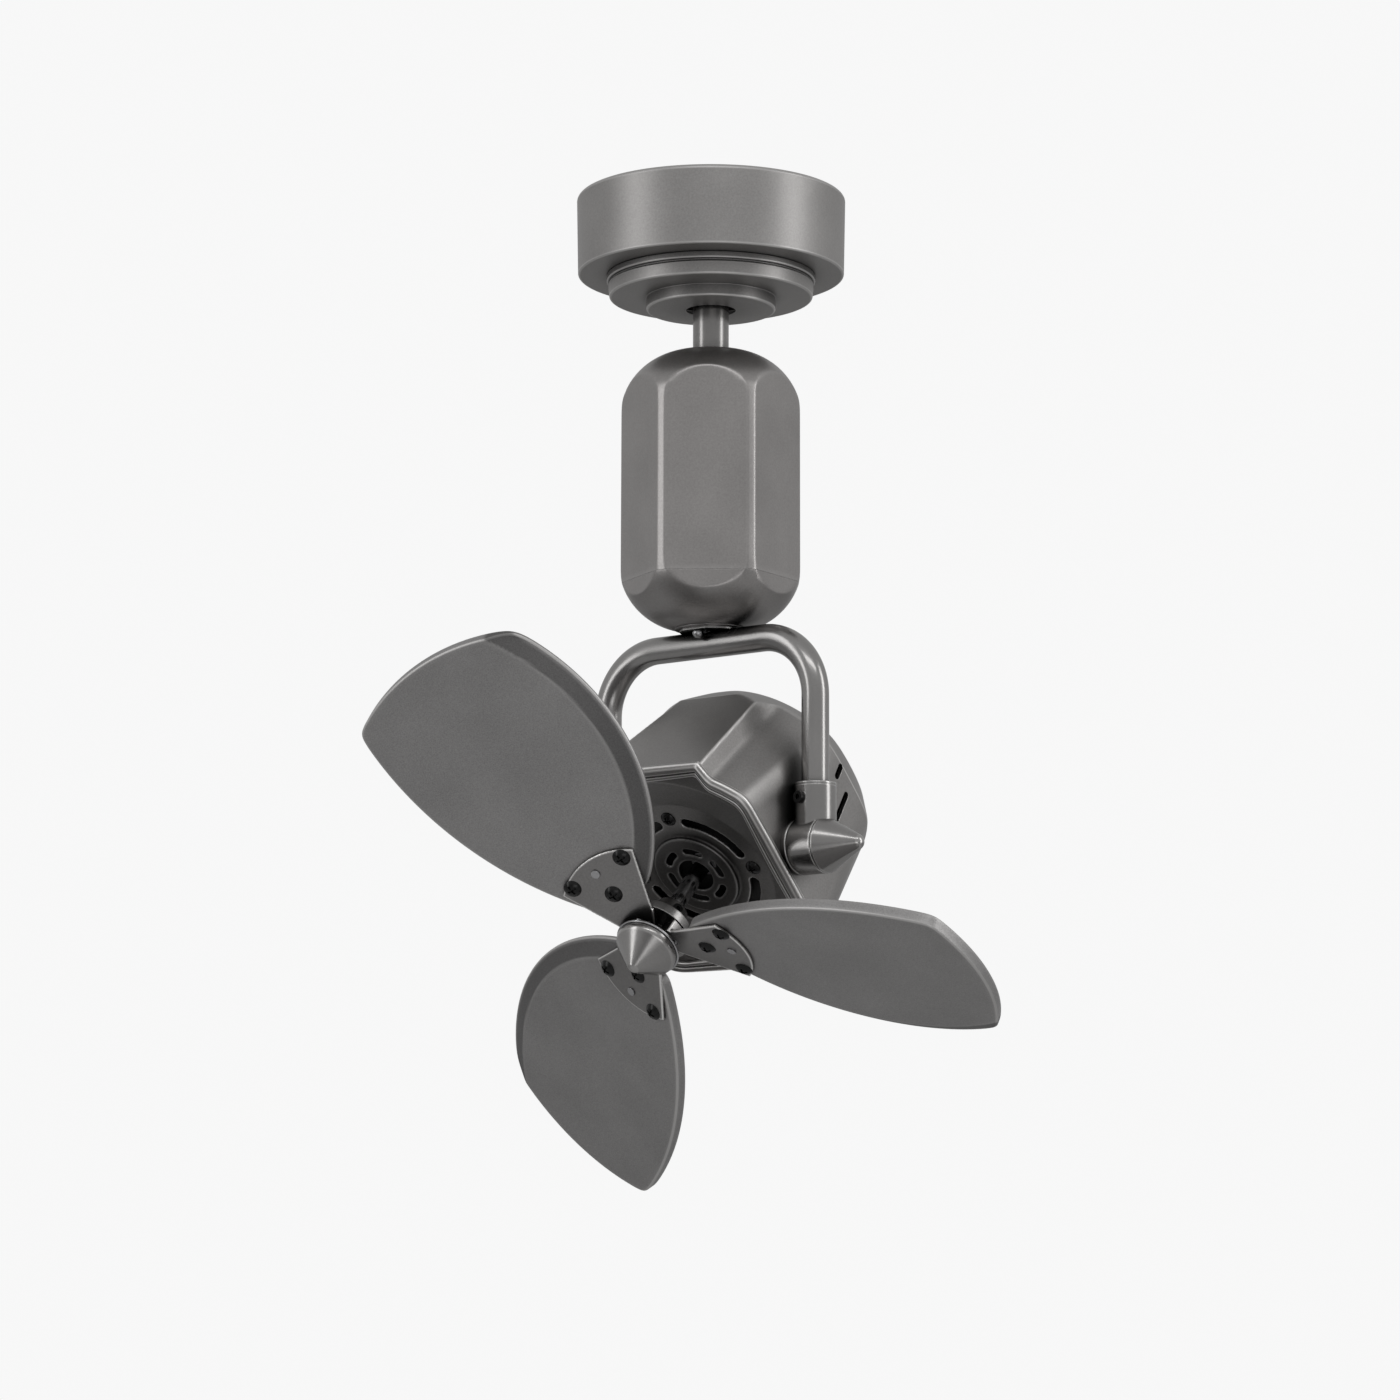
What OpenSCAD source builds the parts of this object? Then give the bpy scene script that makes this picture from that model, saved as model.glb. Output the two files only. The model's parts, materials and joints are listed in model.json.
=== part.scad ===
// Small ceiling fan whose head circles under a geared housing and tilts in a yoke.
// Millimetres, Z up, origin at the middle of the ceiling face; the fan hangs below it.

/* [Ceiling canopy] */
// Outer radius of the canopy at its top edge
canopy_radius = 80; // [60:1:100]
// Height of the canopy below the ceiling
canopy_height = 47.5; // [35:0.5:70]
// Sheet thickness of the canopy and its stepped cover
canopy_wall = 1.5; // [1:0.1:3]
// Radius of the upper step of the cover
step_radius = 62; // [50:1:75]
// Height of the upper step of the cover
step_height = 13.5; // [8:0.5:25]
// Radius of the lower step of the cover
collar_radius = 38.4; // [28:0.2:48]
// Height of the lower step of the cover
collar_height = 7.5; // [4:0.5:15]
// Radius of the hole that the downrod passes through
rod_hole_radius = 14.6; // [12:0.1:20]
// Distance between the two ceiling screws
bracket_spacing = 88; // [70:1:110]

/* [Downrod] */
// Outer diameter of the downrod
rod_diameter = 21.3; // [16:0.1:27]
// Wall thickness of the downrod
rod_wall = 2.2; // [1.2:0.1:3]

/* [Geared housing] */
// Distance from the ceiling to the top of the housing
housing_top = 94.5; // [80:0.5:200]
// Height of the housing with both domes
housing_height = 166.5; // [140:0.5:200]
// Distance across the flats of the hexagon
housing_flats = 94; // [84:1:110]
// Radius of the rounded corners of the hexagon
housing_corner = 5; // [2:0.5:10]
// Radius of the rounding between the domes and the sides
dome_round = 40; // [30:1:44]
// Turn of the hexagon about the downrod
housing_turn = 4; // [0:1:59]
// Wall thickness of the housing
housing_wall = 2.5; // [2:0.1:4]
// Number of teeth on the large gear of the orbit drive
gear_teeth = 48; // [32:1:60]
// Number of teeth on the pinion of the orbit drive
pinion_teeth = 16; // [12:1:24]
// Gear module of the orbit drive
gear_module = 1; // [0.6:0.1:1.2]

/* [Yoke] */
// Outer diameter of the yoke tube
tube_diameter = 16; // [12:0.5:20]
// Wall thickness of the yoke tube
tube_wall = 1.5; // [1:0.1:3]
// Gap between the cheeks of the tilting head and the legs of the yoke
leg_gap = 1.2; // [1:0.1:6]
// Radius of the tube bends on their centre line
bend_radius = 37; // [28:1:44]
// Gap between the back of the tilting head and the yoke bar
arch_gap = 14.9; // [8:0.1:40]
// Gap between the yoke bar and the housing
bar_gap = 0.6; // [0.4:0.1:4]
// Radius of the barrels on the tilt axis
barrel_radius = 16.5; // [13:0.5:20]
// Length of the cone caps
cone_length = 26; // [15:0.5:35]

/* [Motor head] */
// Tilt of the head below the horizontal at rest
tilt_rest = 45; // [20:1:80]
// Half width of the casing between its flat cheeks
cheek_offset = 64; // [55:0.5:66]
// Height of the flat top band above the spin axis, at the front
band_top = 76; // [66:0.5:82]
// Half width of the flat top band
band_half = 43; // [25:1:50]
// Radius of the casing at its front rim
front_radius = 79.5; // [70:0.5:88]
// Radius of the casing at its rear edge
rear_radius = 70.5; // [60:0.5:76]
// Distance from the tilt axis forward to the front rim
front_reach = 22.5; // [15:0.5:30]
// Distance from the tilt axis back to the rear cover
rear_reach = 78; // [60:0.5:90]
// Wall thickness of the casing
casing_wall = 2.5; // [1.5:0.1:4]
// Radius of the middle line of the long vent slots
slot_radius = 37; // [32:0.5:44]
// Width of the vent slots
slot_width = 6; // [3:0.5:8]

/* [Blades] */
// Radius from the spin axis to the middle of each blade tip
sweep_radius = 210; // [180:1:230]
// Turn of the first blade at rest
spin_rest = 106.5; // [0:0.5:120]
// Pitch of the blades
blade_pitch = 18; // [8:0.5:26]
// Height of the blade face in front of the tilt axis
blade_height = 74; // [70:0.5:84]
// Thickness of the blade sheet
blade_sheet = 2; // [1.2:0.1:4]
// Depth of the turned edge of the blades
blade_lip = 7; // [4:0.5:12]
// Width of the sloping leading edge
lead_width = 11; // [4:0.5:16]
// Thickness of the blade irons
iron_sheet = 2; // [1.5:0.1:4]
// Radius of the arc at the outer end of the irons
iron_reach = 61; // [50:1:70]
// Length of the spinner cone
spinner_length = 20; // [12:0.5:32]
// Base radius of the spinner cone
spinner_radius = 18.5; // [14:0.5:24]

/* [Fits] */
// Radial clearance of running fits
run_gap = 0.08; // [0.02:0.01:0.15]
// Gap between a moving piece and its neighbour
face_gap = 0.35; // [0.3:0.05:0.8]

/* [Hidden] */
$fn = 96;
fine = 160;
e = 0.01;
quarter = 90;
rod_radius = rod_diameter / 2;
tube_radius = tube_diameter / 2;
floor_z = -canopy_height;
step_z = floor_z - step_height;
collar_z = step_z - collar_height;
post_offset = 48;
post_radius = 4;
hanger_radius = 16;
hanger_length = 30;
bracket_sheet = 2.5;
rod_top = -12;
rod_inside = 14;
rod_bottom = -housing_top - rod_inside;
pin_radius = 3;
pin_z = -28;
shell_top = -housing_top;
shell_bottom = shell_top - housing_height;
seam_z = shell_bottom + 28;
nut_top = shell_top - housing_wall - 0.3;
mouth_radius = 21;
orbit_radius = 5;
motor_set = 8;
motor_radius = 20;
saddle_drop = 1;
saddle_radius = 18;
saddle_width = 32;
gear_radius = gear_teeth * gear_module / 2;
pinion_radius = pinion_teeth * gear_module / 2;
gear_reach = gear_radius + pinion_radius;
gear_turn = 180;
gear_z = shell_bottom + 38;
gear_width = 7;
plate_z = gear_z + gear_width + 3;
plate_sheet = 3;
motor_z = plate_z + plate_sheet + 10;
barrel_in = cheek_offset + 3;
barrel_out = 83.5;
socket_top = 36;
socket_radius = 12;
washer_sheet = 0.7;
boss_in = cheek_offset - casing_wall + 0.3;
boss_out = barrel_in - washer_sheet;
boss_radius = 16;
bolt_radius = 4;
cap_recess = 3;
cap_fit = 14.5;
axis_drop = -1.5;
rear_taper = 3;
band_rear = 64;
bevel_length = 12;
bevel_depth = 7;
belly = 67;
head_swing = norm([rear_radius - bevel_depth - axis_drop, rear_reach]);
leg_offset = cheek_offset + rear_taper + leg_gap + tube_radius;
bar_rise = head_swing + arch_gap + tube_radius;
pivot_drop = housing_top + housing_height + bar_gap + tube_radius + bar_rise;
bar_z = -pivot_drop + bar_rise;
bar_half = leg_offset - bend_radius;
bar_core = 12;
tube_bore = tube_radius - tube_wall;
leg_foot = barrel_radius + 2;
leg_top = bar_rise - bend_radius;
saddle_bottom = bar_z + tube_radius - saddle_drop;
saddle_top = shell_bottom + 1.5;
flange_sheet = 5;
pod_radius = 46;
pod_front = 8;
pod_rear = -52;
shaft_radius = 5;
plate_front = 16;
hub_front = 70;
hub_flange = 6;
spinner_base = 83;
lead_center = [138, 63.6];
lead_radius = 137.4;
trail_center = [157.4, -147.7];
trail_radius = 208.3;
tip_radius = 129;
tip_center = [sweep_radius - tip_radius, -1];
tip_round = 7;
root_cut = 27;
screw_ring = 51.5;
screw_swing = 19;
screw_inner = 35.5;
screw_radius = 2.5;
head_radius = 5.3;
metal = [0.36, 0.36, 0.37];
dark = [0.09, 0.09, 0.1];
steel = [0.62, 0.63, 0.65];
zinc = [0.72, 0.73, 0.75];
copper = [0.72, 0.42, 0.22];
brass = [0.78, 0.66, 0.36];
plastic = [0.9, 0.89, 0.85];

// Where two circles cross
function cross_at(a, ra, b, rb, s) =
  let (d = norm(b - a), x = (ra * ra - rb * rb + d * d) / (2 * d), u = (b - a) / d)
  a + u * x + s * sqrt(ra * ra - x * x) * [-u[1], u[0]];
function unit(v) = v / norm(v);

// Frame of the tilt axis
module at_pivot() translate([0, 0, -pivot_drop]) children();

// Frame of the head with Z along the spin axis and X along the tilt axis
module in_head() at_pivot() rotate([quarter + tilt_rest, 0, 0]) children();

// Frame of one blade with X along its length and Z off its face
module in_blade(k)
  in_head() rotate([0, 0, spin_rest - 120 * k]) translate([0, 0, blade_height])
    rotate([blade_pitch, 0, 0]) children();

// Rod along X from a to b
module bar_x(a, b, r) translate([a, 0, 0]) rotate([0, quarter, 0]) cylinder(h = b - a, r = r);

module both_sides() {
  children();
  mirror([1, 0, 0]) children();
}

// Pan head screw pointing to -Z with the seat of its head at zero
module pan_screw(r, len, hr, hh) {
  translate([0, 0, -len]) cylinder(h = len + e, r = r);
  difference() {
    intersection() {
      cylinder(h = hh, r = hr);
      translate([0, 0, hh - hr * 1.3]) sphere(r = hr * 1.3);
    }
    for (a = [0, quarter]) rotate([0, 0, a])
      translate([-hr * 0.55, -hr * 0.12, hh - hr * 0.28]) cube([hr * 1.1, hr * 0.24, hr]);
  }
}

// Socket screw pointing to -Z with the seat of its head at zero
module socket_screw(r, len, hr, hh) difference() {
  union() {
    translate([0, 0, -len]) cylinder(h = len + e, r = r);
    cylinder(h = hh, r = hr);
  }
  translate([0, 0, hh * 0.4]) cylinder(h = hh, r = hr * 0.52, $fn = 6);
}

// Ceiling side
module post_at() for (s = [-1, 1]) rotate([0, 0, 60]) translate([s * post_offset, 0, 0]) children();

module ceiling_bracket() color(zinc) difference() {
  union() {
    translate([-60, -22, -bracket_sheet]) cube([120, 44, bracket_sheet]);
    rotate([0, 0, 60]) translate([-56, -9, -bracket_sheet]) cube([112, 18, bracket_sheet]);
    translate([0, 0, -bracket_sheet - 6]) cylinder(h = 6 + bracket_sheet / 2, r = 24);
    translate([0, 0, -bracket_sheet - 6 - hanger_length]) cylinder(h = hanger_length + 3, r = hanger_radius);
    post_at() translate([0, 0, floor_z + canopy_wall])
      cylinder(h = canopy_height - canopy_wall - bracket_sheet / 2, r = post_radius);
  }
  for (s = [-1, 1]) translate([s * bracket_spacing / 2, 0, -bracket_sheet - 1]) {
    translate([-4, -2.6, 0]) cube([8, 5.2, bracket_sheet + 2]);
    for (t = [-4, 4]) translate([t, 0, 0]) cylinder(h = bracket_sheet + 2, r = 2.6);
  }
  translate([0, 0, -hanger_length - 20]) cylinder(h = hanger_length + 20 + rod_top, r = rod_radius + run_gap);
  translate([0, 0, rod_top - 1]) cylinder(h = -rod_top + 2, r = 8);
  translate([0, 0, pin_z]) bar_x(-30, 30, pin_radius + run_gap);
  post_at() translate([0, 0, floor_z]) cylinder(h = 14, r = 1.7);
}

module canopy() color(metal) difference() {
  union() {
    rotate_extrude($fn = fine) polygon([[0, floor_z], [canopy_radius - 1.6, floor_z],
      [canopy_radius - 0.9, floor_z + 0.6], [canopy_radius - 0.8, floor_z + 2],
      [canopy_radius, -5], [canopy_radius - 0.6, -2.4], [canopy_radius - 2, -0.8],
      [canopy_radius - 4, -0.3], [0, -0.3]]);
  }
  rotate_extrude($fn = fine) polygon([[0, floor_z + canopy_wall], [canopy_radius - 3.4, floor_z + canopy_wall],
    [canopy_radius - 0.8 - canopy_wall, floor_z + 4], [canopy_radius - canopy_wall, -6],
    [canopy_radius - 4, -2], [canopy_radius - 4, 1], [0, 1]]);
  translate([0, 0, floor_z - 1]) cylinder(h = 5, r = 36);
  post_at() translate([0, 0, floor_z - 1]) cylinder(h = 4, r = 1.7 + run_gap);
}

module canopy_screws() color(steel) post_at() translate([0, 0, floor_z])
  rotate([180, 0, 0]) pan_screw(1.65, 10, 3.6, 2.4);

module stepped_cover() color(metal) rotate_extrude($fn = fine) polygon([
  [step_radius - canopy_wall, floor_z], [step_radius - 0.4, floor_z],
  [step_radius, floor_z - 0.5], [step_radius, floor_z - 3.4], [step_radius - 0.5, floor_z - 4],
  [step_radius - 1.7, floor_z - 4.1], [step_radius - 1.7, floor_z - 4.9],
  [step_radius - 1, floor_z - 5.4], [step_radius - 1.5, step_z + 0.7], [step_radius - 2.2, step_z],
  [collar_radius, step_z], [collar_radius, collar_z + 0.8], [collar_radius - 0.8, collar_z],
  [rod_hole_radius, collar_z], [rod_hole_radius, collar_z + canopy_wall],
  [collar_radius - canopy_wall, collar_z + canopy_wall], [collar_radius - canopy_wall, step_z + canopy_wall],
  [step_radius - 3.2, step_z + canopy_wall], [step_radius - 3.2, floor_z - 5],
  [step_radius - 3.2, floor_z - 3.6], [step_radius - canopy_wall, floor_z - 2.6]]);

module terminal_block() color(plastic) difference() {
  translate([-36.5, -14, -bracket_sheet - 12]) cube([10, 28, 12]);
  for (y = [-9, 0, 9]) translate([-31.5, y, -bracket_sheet - 15]) cylinder(h = 8, r = 2.2);
}

// Downrod and its fixings
module downrod() color(metal) difference() {
  translate([0, 0, rod_bottom]) cylinder(h = rod_top - rod_bottom, r = rod_radius);
  translate([0, 0, rod_bottom - 1]) cylinder(h = rod_top - rod_bottom + 2, r = rod_radius - rod_wall);
  translate([0, 0, pin_z]) bar_x(-30, 30, pin_radius + run_gap);
}

module downrod_pin() color(steel) translate([0, 0, pin_z]) {
  bar_x(-19, 18, pin_radius);
  bar_x(-21, -19, pin_radius + 1.5);
}

module downrod_nut() color(zinc) difference() {
  translate([0, 0, nut_top - 8.5]) cylinder(h = 8.5, r = 18, $fn = 6);
  translate([0, 0, shell_top - housing_wall - 10]) cylinder(h = 14, r = rod_radius + 0.02);
}

// Solid hexagonal drum with domed ends, drawn inwards by the offset o
module drum(o) intersection() {
  translate([0, 0, shell_bottom + o]) rotate([0, 0, housing_turn]) hex_prism(housing_flats - 2 * o, housing_corner, housing_height - 2 * o);
  rotate_extrude($fn = fine) drum_profile(o);
}

module hex_prism(flats, corner, h) {
  c = (flats / 2 - corner) / cos(30);
  linear_extrude(h) union() {
    circle(r = c, $fn = 6);
    for (k = [0:5]) rotate([0, 0, 60 * k]) {
      translate([c, 0]) circle(r = corner, $fn = 48);
      rotate([0, 0, 30]) translate([0, -c / 2]) square([flats / 2, c]);
    }
  }
}

module drum_profile(o) {
  w = housing_flats / 2 / cos(30) + 2;
  r = dome_round - o;
  top = shell_top - o;
  low = shell_bottom + o;
  cx = 54 - dome_round;
  translate([0, low]) square([cx, top - low]);
  translate([0, low + r]) square([w, top - low - 2 * r]);
  intersection() {
    translate([cx, top - r]) circle(r = r, $fn = fine);
    translate([0, low]) square([w, top - low]);
  }
  intersection() {
    translate([cx, low + r]) circle(r = r, $fn = fine);
    translate([0, low]) square([w, top - low]);
  }
}

module lid_post(a) rotate([0, 0, housing_turn + a]) translate([36, 0, seam_z]) children();

module gear_housing() color(metal) difference() {
  union() {
    difference() {
      intersection() {
        drum(0);
        translate([-80, -80, seam_z]) cube([160, 160, housing_height]);
      }
      drum(housing_wall);
    }
    intersection() {
      for (a = [0, 120, 240]) lid_post(a) translate([0, -5, 0]) cube([20, 10, plate_z - seam_z]);
      drum(0.5);
    }
    intersection() {
      translate([0, 0, shell_top - housing_wall - 4]) cylinder(h = housing_wall + 4, r = 24);
      drum(0);
    }
  }
  translate([0, 0, nut_top - 10]) cylinder(h = 10, r = 19);
  translate([0, 0, shell_top - 20]) cylinder(h = 30, r = rod_radius + 0.02);
  for (a = [0, 120, 240]) lid_post(a) {
    translate([5, 0, -1]) cylinder(h = 10, r = 1.6);
    translate([3, 0, plate_z - seam_z - 8]) cylinder(h = 9, r = 1.6);
  }
}

module housing_lid() color(metal) difference() {
  intersection() {
    drum(0);
    translate([-80, -80, shell_bottom - 1]) cube([160, 160, seam_z - shell_bottom + 1 - 0.15]);
  }
  difference() {
    drum(housing_wall);
    for (a = [0, 120, 240]) lid_post(a) translate([0, -5, -12]) cube([20, 10, 12]);
  }
  translate([0, 0, shell_bottom - 1]) cylinder(h = 10, r = mouth_radius);
  for (a = [0, 120, 240]) lid_post(a) translate([5, 0, -20]) {
    cylinder(h = 30, r = 1.6 + run_gap);
    cylinder(h = 14, r = 3.4);
  }
}

module lid_screws() color(dark)
  for (a = [0, 120, 240]) lid_post(a) translate([5, 0, -6]) rotate([180, 0, 0]) pan_screw(1.55, 14, 3.2, 2.2);

module gear_plate() color(zinc) difference() {
  intersection() {
    translate([-60, -60, plate_z]) cube([120, 120, plate_sheet]);
    drum(housing_wall + 0.02);
  }
  translate([0, 0, plate_z - 1]) cylinder(h = plate_sheet + 2, r = 11.02);
  rotate([0, 0, gear_turn]) translate([gear_reach, 0, plate_z - 1]) cylinder(h = plate_sheet + 2, r = 5.5);
  motor_ear() translate([0, 0, plate_z - 1]) cylinder(h = plate_sheet + 2, r = 1.5 + run_gap);
  for (a = [0, 120, 240]) lid_post(a) translate([3, 0, plate_z - seam_z - 1])
    cylinder(h = plate_sheet + 2, r = 1.6 + run_gap);
}

module plate_screws() color(steel)
  for (a = [0, 120, 240]) lid_post(a) translate([3, 0, plate_z - seam_z + plate_sheet]) pan_screw(1.55, 9, 3, 2);

// Geared motor that turns the yoke, on two standoffs over the plate
module motor_ear() rotate([0, 0, gear_turn])
  for (s = [-1, 1]) translate([gear_reach - motor_set, s * 15, 0]) children();

module orbit_motor() color(steel) difference() {
  union() {
    rotate([0, 0, gear_turn]) {
      translate([gear_reach - motor_set, 0, motor_z]) {
        cylinder(h = 7, r = motor_radius);
        translate([0, 0, 7 - e]) cylinder(h = 15, r = motor_radius - 2);
      }
      translate([gear_reach, 0, plate_z + 0.3]) cylinder(h = motor_z - plate_z, r = 5.2);
    }
    motor_ear() translate([0, 0, plate_z + plate_sheet]) cylinder(h = motor_z - plate_z - plate_sheet + e, r = 4);
  }
  rotate([0, 0, gear_turn]) translate([gear_reach, 0, plate_z]) cylinder(h = 8, r = 2.5 + run_gap);
  motor_ear() translate([0, 0, plate_z + plate_sheet - 1]) cylinder(h = 9, r = 1.51);
}

module motor_screws() color(steel) motor_ear() translate([0, 0, plate_z]) rotate([180, 0, 0])
  pan_screw(1.5, plate_sheet + 6, 2.8, 1.8);

// Gear drawn as a toothed disc
module gear_shape(teeth, bore) difference() {
  union() {
    circle(r = teeth * gear_module / 2 - gear_module * 1.2);
    for (k = [0:teeth - 1]) rotate([0, 0, 360 * k / teeth])
      polygon([[teeth * gear_module / 2 - gear_module * 1.6, -gear_module * 0.85],
        [teeth * gear_module / 2, -gear_module * 0.62], [teeth * gear_module / 2 + gear_module * 0.85, -gear_module * 0.25],
        [teeth * gear_module / 2 + gear_module * 0.85, gear_module * 0.25], [teeth * gear_module / 2, gear_module * 0.62],
        [teeth * gear_module / 2 - gear_module * 1.6, gear_module * 0.85]]);
  }
  circle(r = bore);
}

module orbit_pinion() color(brass) rotate([0, 0, gear_turn]) translate([gear_reach, 0, gear_z]) {
  rotate([0, 0, 180 / pinion_teeth + 180]) linear_extrude(gear_width) gear_shape(pinion_teeth, 0.5);
  translate([0, 0, gear_width - e]) cylinder(h = plate_z - gear_z - gear_width + 7, r = 2.5);
}

module orbit_gear() color(plastic) translate([0, 0, gear_z]) difference() {
  union() {
    linear_extrude(gear_width) gear_shape(gear_teeth, orbit_radius);
    translate([0, 0, -5]) cylinder(h = 5 + e, r = 9);
  }
  translate([0, 0, -6]) cylinder(h = gear_width + 8, r = orbit_radius + 0.01);
}

module orbit_bearing() color(steel) translate([0, 0, plate_z - 2]) difference() {
  union() {
    cylinder(h = 8, r = 11);
    translate([0, 0, 2 + plate_sheet]) cylinder(h = 1.2, r = 12.5);
  }
  translate([0, 0, -1]) cylinder(h = 12, r = orbit_radius + run_gap);
}

module orbit_shaft() color(steel) difference() {
  union() {
    translate([0, 0, bar_z]) cylinder(h = plate_z + 9 - bar_z, r = orbit_radius);
    translate([0, 0, saddle_top]) cylinder(h = flange_sheet, r = saddle_radius);
    translate([0, 0, saddle_top + flange_sheet - e]) cylinder(h = gear_z - 5 - saddle_top - flange_sheet + e, r = 9);
  }
  translate([0, 0, bar_z - 1]) cylinder(h = 80, r = 3);
  for (s = [-1, 1]) translate([0, s * 12, saddle_top - 1]) cylinder(h = flange_sheet + 2, r = 2);
}

module shaft_clip() color(dark) difference() {
  translate([0, 0, plate_z + 6 + face_gap]) cylinder(h = 1.2, r = 8);
  translate([0, 0, plate_z + 4]) cylinder(h = 5, r = orbit_radius + 0.01);
  translate([0, -1.5, plate_z + 4]) cube([20, 3, 5]);
}

module run_capacitor() color(plastic) translate([14.5, -19, plate_z + plate_sheet]) cube([21, 38, 28]);

// Yoke
module yoke_leg() rotate([0, 0, 180]) difference() {
  cylinder(h = leg_top - leg_foot, r = tube_radius);
  translate([0, 0, -1]) cylinder(h = leg_top - leg_foot + 2, r = tube_bore);
}

module yoke_bend() rotate([quarter, 0, 0]) rotate_extrude(angle = quarter) translate([bend_radius, 0])
  rotate(180) difference() {
    circle(r = tube_radius);
    circle(r = tube_bore);
  }

module yoke_tube() color(metal) at_pivot() {
  difference() {
    translate([0, 0, bar_rise]) bar_x(-bar_half, bar_half, tube_radius);
    both_sides() translate([0, 0, bar_rise]) bar_x(bar_core, bar_half + 1, tube_bore);
    translate([0, 0, bar_rise - 1]) cylinder(h = 20, r = orbit_radius + 0.02);
  }
  both_sides() {
    translate([bar_half, 0, leg_top]) yoke_bend();
    translate([leg_offset, 0, leg_foot]) yoke_leg();
  }
}

module yoke_saddle() color(metal) difference() {
  translate([0, 0, saddle_bottom]) intersection() {
    cylinder(h = saddle_top - saddle_bottom, r = saddle_radius);
    translate([-saddle_radius, -saddle_width / 2, 0]) cube([2 * saddle_radius, saddle_width, 20]);
  }
  translate([0, 0, bar_z]) bar_x(-bar_half, bar_half, tube_radius + 0.01);
  translate([0, 0, bar_z]) cylinder(h = 30, r = orbit_radius + 0.02);
  for (s = [-1, 1]) translate([0, s * 12, bar_z]) cylinder(h = 30, r = 2 + run_gap);
}

module saddle_screws() color(zinc)
  for (s = [-1, 1]) translate([0, s * 12, saddle_bottom]) rotate([180, 0, 0]) {
    translate([0, 0, saddle_bottom - saddle_top - flange_sheet]) cylinder(h = saddle_top - saddle_bottom + flange_sheet + e, r = 1.98);
    intersection() {
      cylinder(h = 5, r = 3.2);
      translate([0, 0, 1.6]) sphere(r = 3.2);
    }
  }

// Pivot hubs
module pivot_hub() at_pivot() difference() {
  union() {
    bar_x(barrel_in, barrel_out, barrel_radius);
    translate([leg_offset, 0, barrel_radius + 0.5]) cylinder(h = socket_top - barrel_radius - 0.5, r = socket_radius);
    intersection() {
      translate([leg_offset, 0, 0]) cylinder(h = barrel_radius + 1, r = socket_radius);
      translate([barrel_in, -socket_radius - 1, 0])
        cube([barrel_out - barrel_in, 2 * socket_radius + 2, barrel_radius + 1]);
    }
  }
  translate([leg_offset, 0, leg_foot]) cylinder(h = 40, r = tube_radius + 0.02);
  bar_x(barrel_in - 1, barrel_out + 1, bolt_radius + 0.02);
  bar_x(barrel_out - cap_recess, barrel_out + 1, cap_fit);
  bar_x(barrel_out - cap_recess - 6, barrel_out + 1, 7.5);
  translate([0, -40, -40]) cube([barrel_in, 80, 120]);
  hub_screw_at() {
    translate([0, 0, -6]) cylinder(h = 12, r = 2 + 0.01);
    translate([0, 0, -0.6]) cylinder(h = 12, r = 3.5 + run_gap);
  }
}

module hub_screw_at() translate([leg_offset, 0, 27]) rotate([0, 0, -11]) rotate([quarter, 0, 0])
  translate([0, 0, socket_radius]) children();

module right_pivot_hub() color(metal) pivot_hub();

module left_pivot_hub() color(metal) mirror([1, 0, 0]) pivot_hub();

module hub_set_screws() color(dark) both_sides() at_pivot() hub_screw_at()
  translate([0, 0, -0.6]) socket_screw(1.98, socket_radius - tube_radius - 0.7, 3.5, 3);

module pivot_bolts() color(steel) both_sides() at_pivot() difference() {
  union() {
    bar_x(48, barrel_out - cap_recess - 6 + e, bolt_radius);
    bar_x(barrel_out - cap_recess - 6, barrel_out - cap_recess - 0.5, 6.5);
  }
  translate([barrel_out - cap_recess - 3, 0, 0]) rotate([0, quarter, 0]) cylinder(h = 6, r = 3.2, $fn = 6);
}

module pivot_nuts() color(zinc) both_sides() at_pivot() difference() {
  union() {
    translate([boss_in - face_gap - 8, 0, 0]) rotate([0, quarter, 0]) cylinder(h = 6.6, r = 7.5, $fn = 6);
    bar_x(boss_in - face_gap - 1.5, boss_in - face_gap, 9);
  }
  bar_x(30, 90, bolt_radius + 0.01);
}

module friction_washers() color(dark) both_sides() at_pivot() difference() {
  bar_x(boss_out + 0.01, barrel_in - 0.01, 15);
  bar_x(boss_out - 1, barrel_in + 1, bolt_radius + run_gap);
}

module cone_cap() at_pivot() translate([barrel_out, 0, 0]) rotate([0, quarter, 0]) difference() {
  union() {
    rotate_extrude($fn = fine) {
      polygon([[0, 0], [barrel_radius - 0.4, 0], [barrel_radius, 0.5], [barrel_radius - 0.2, 1.4],
        [5.6, cone_length - 5], [4.6, cone_length - 2.6], [2.8, cone_length - 0.7], [0, cone_length]]);
    }
    translate([0, 0, -cap_recess + 0.2]) cylinder(h = cap_recess, r = cap_fit - 0.02);
  }
  translate([0, 0, -5]) cylinder(h = 9, r = 11);
}

module right_cone_cap() color(metal) cone_cap();

module left_cone_cap() color(metal) mirror([1, 0, 0]) cone_cap();

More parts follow.
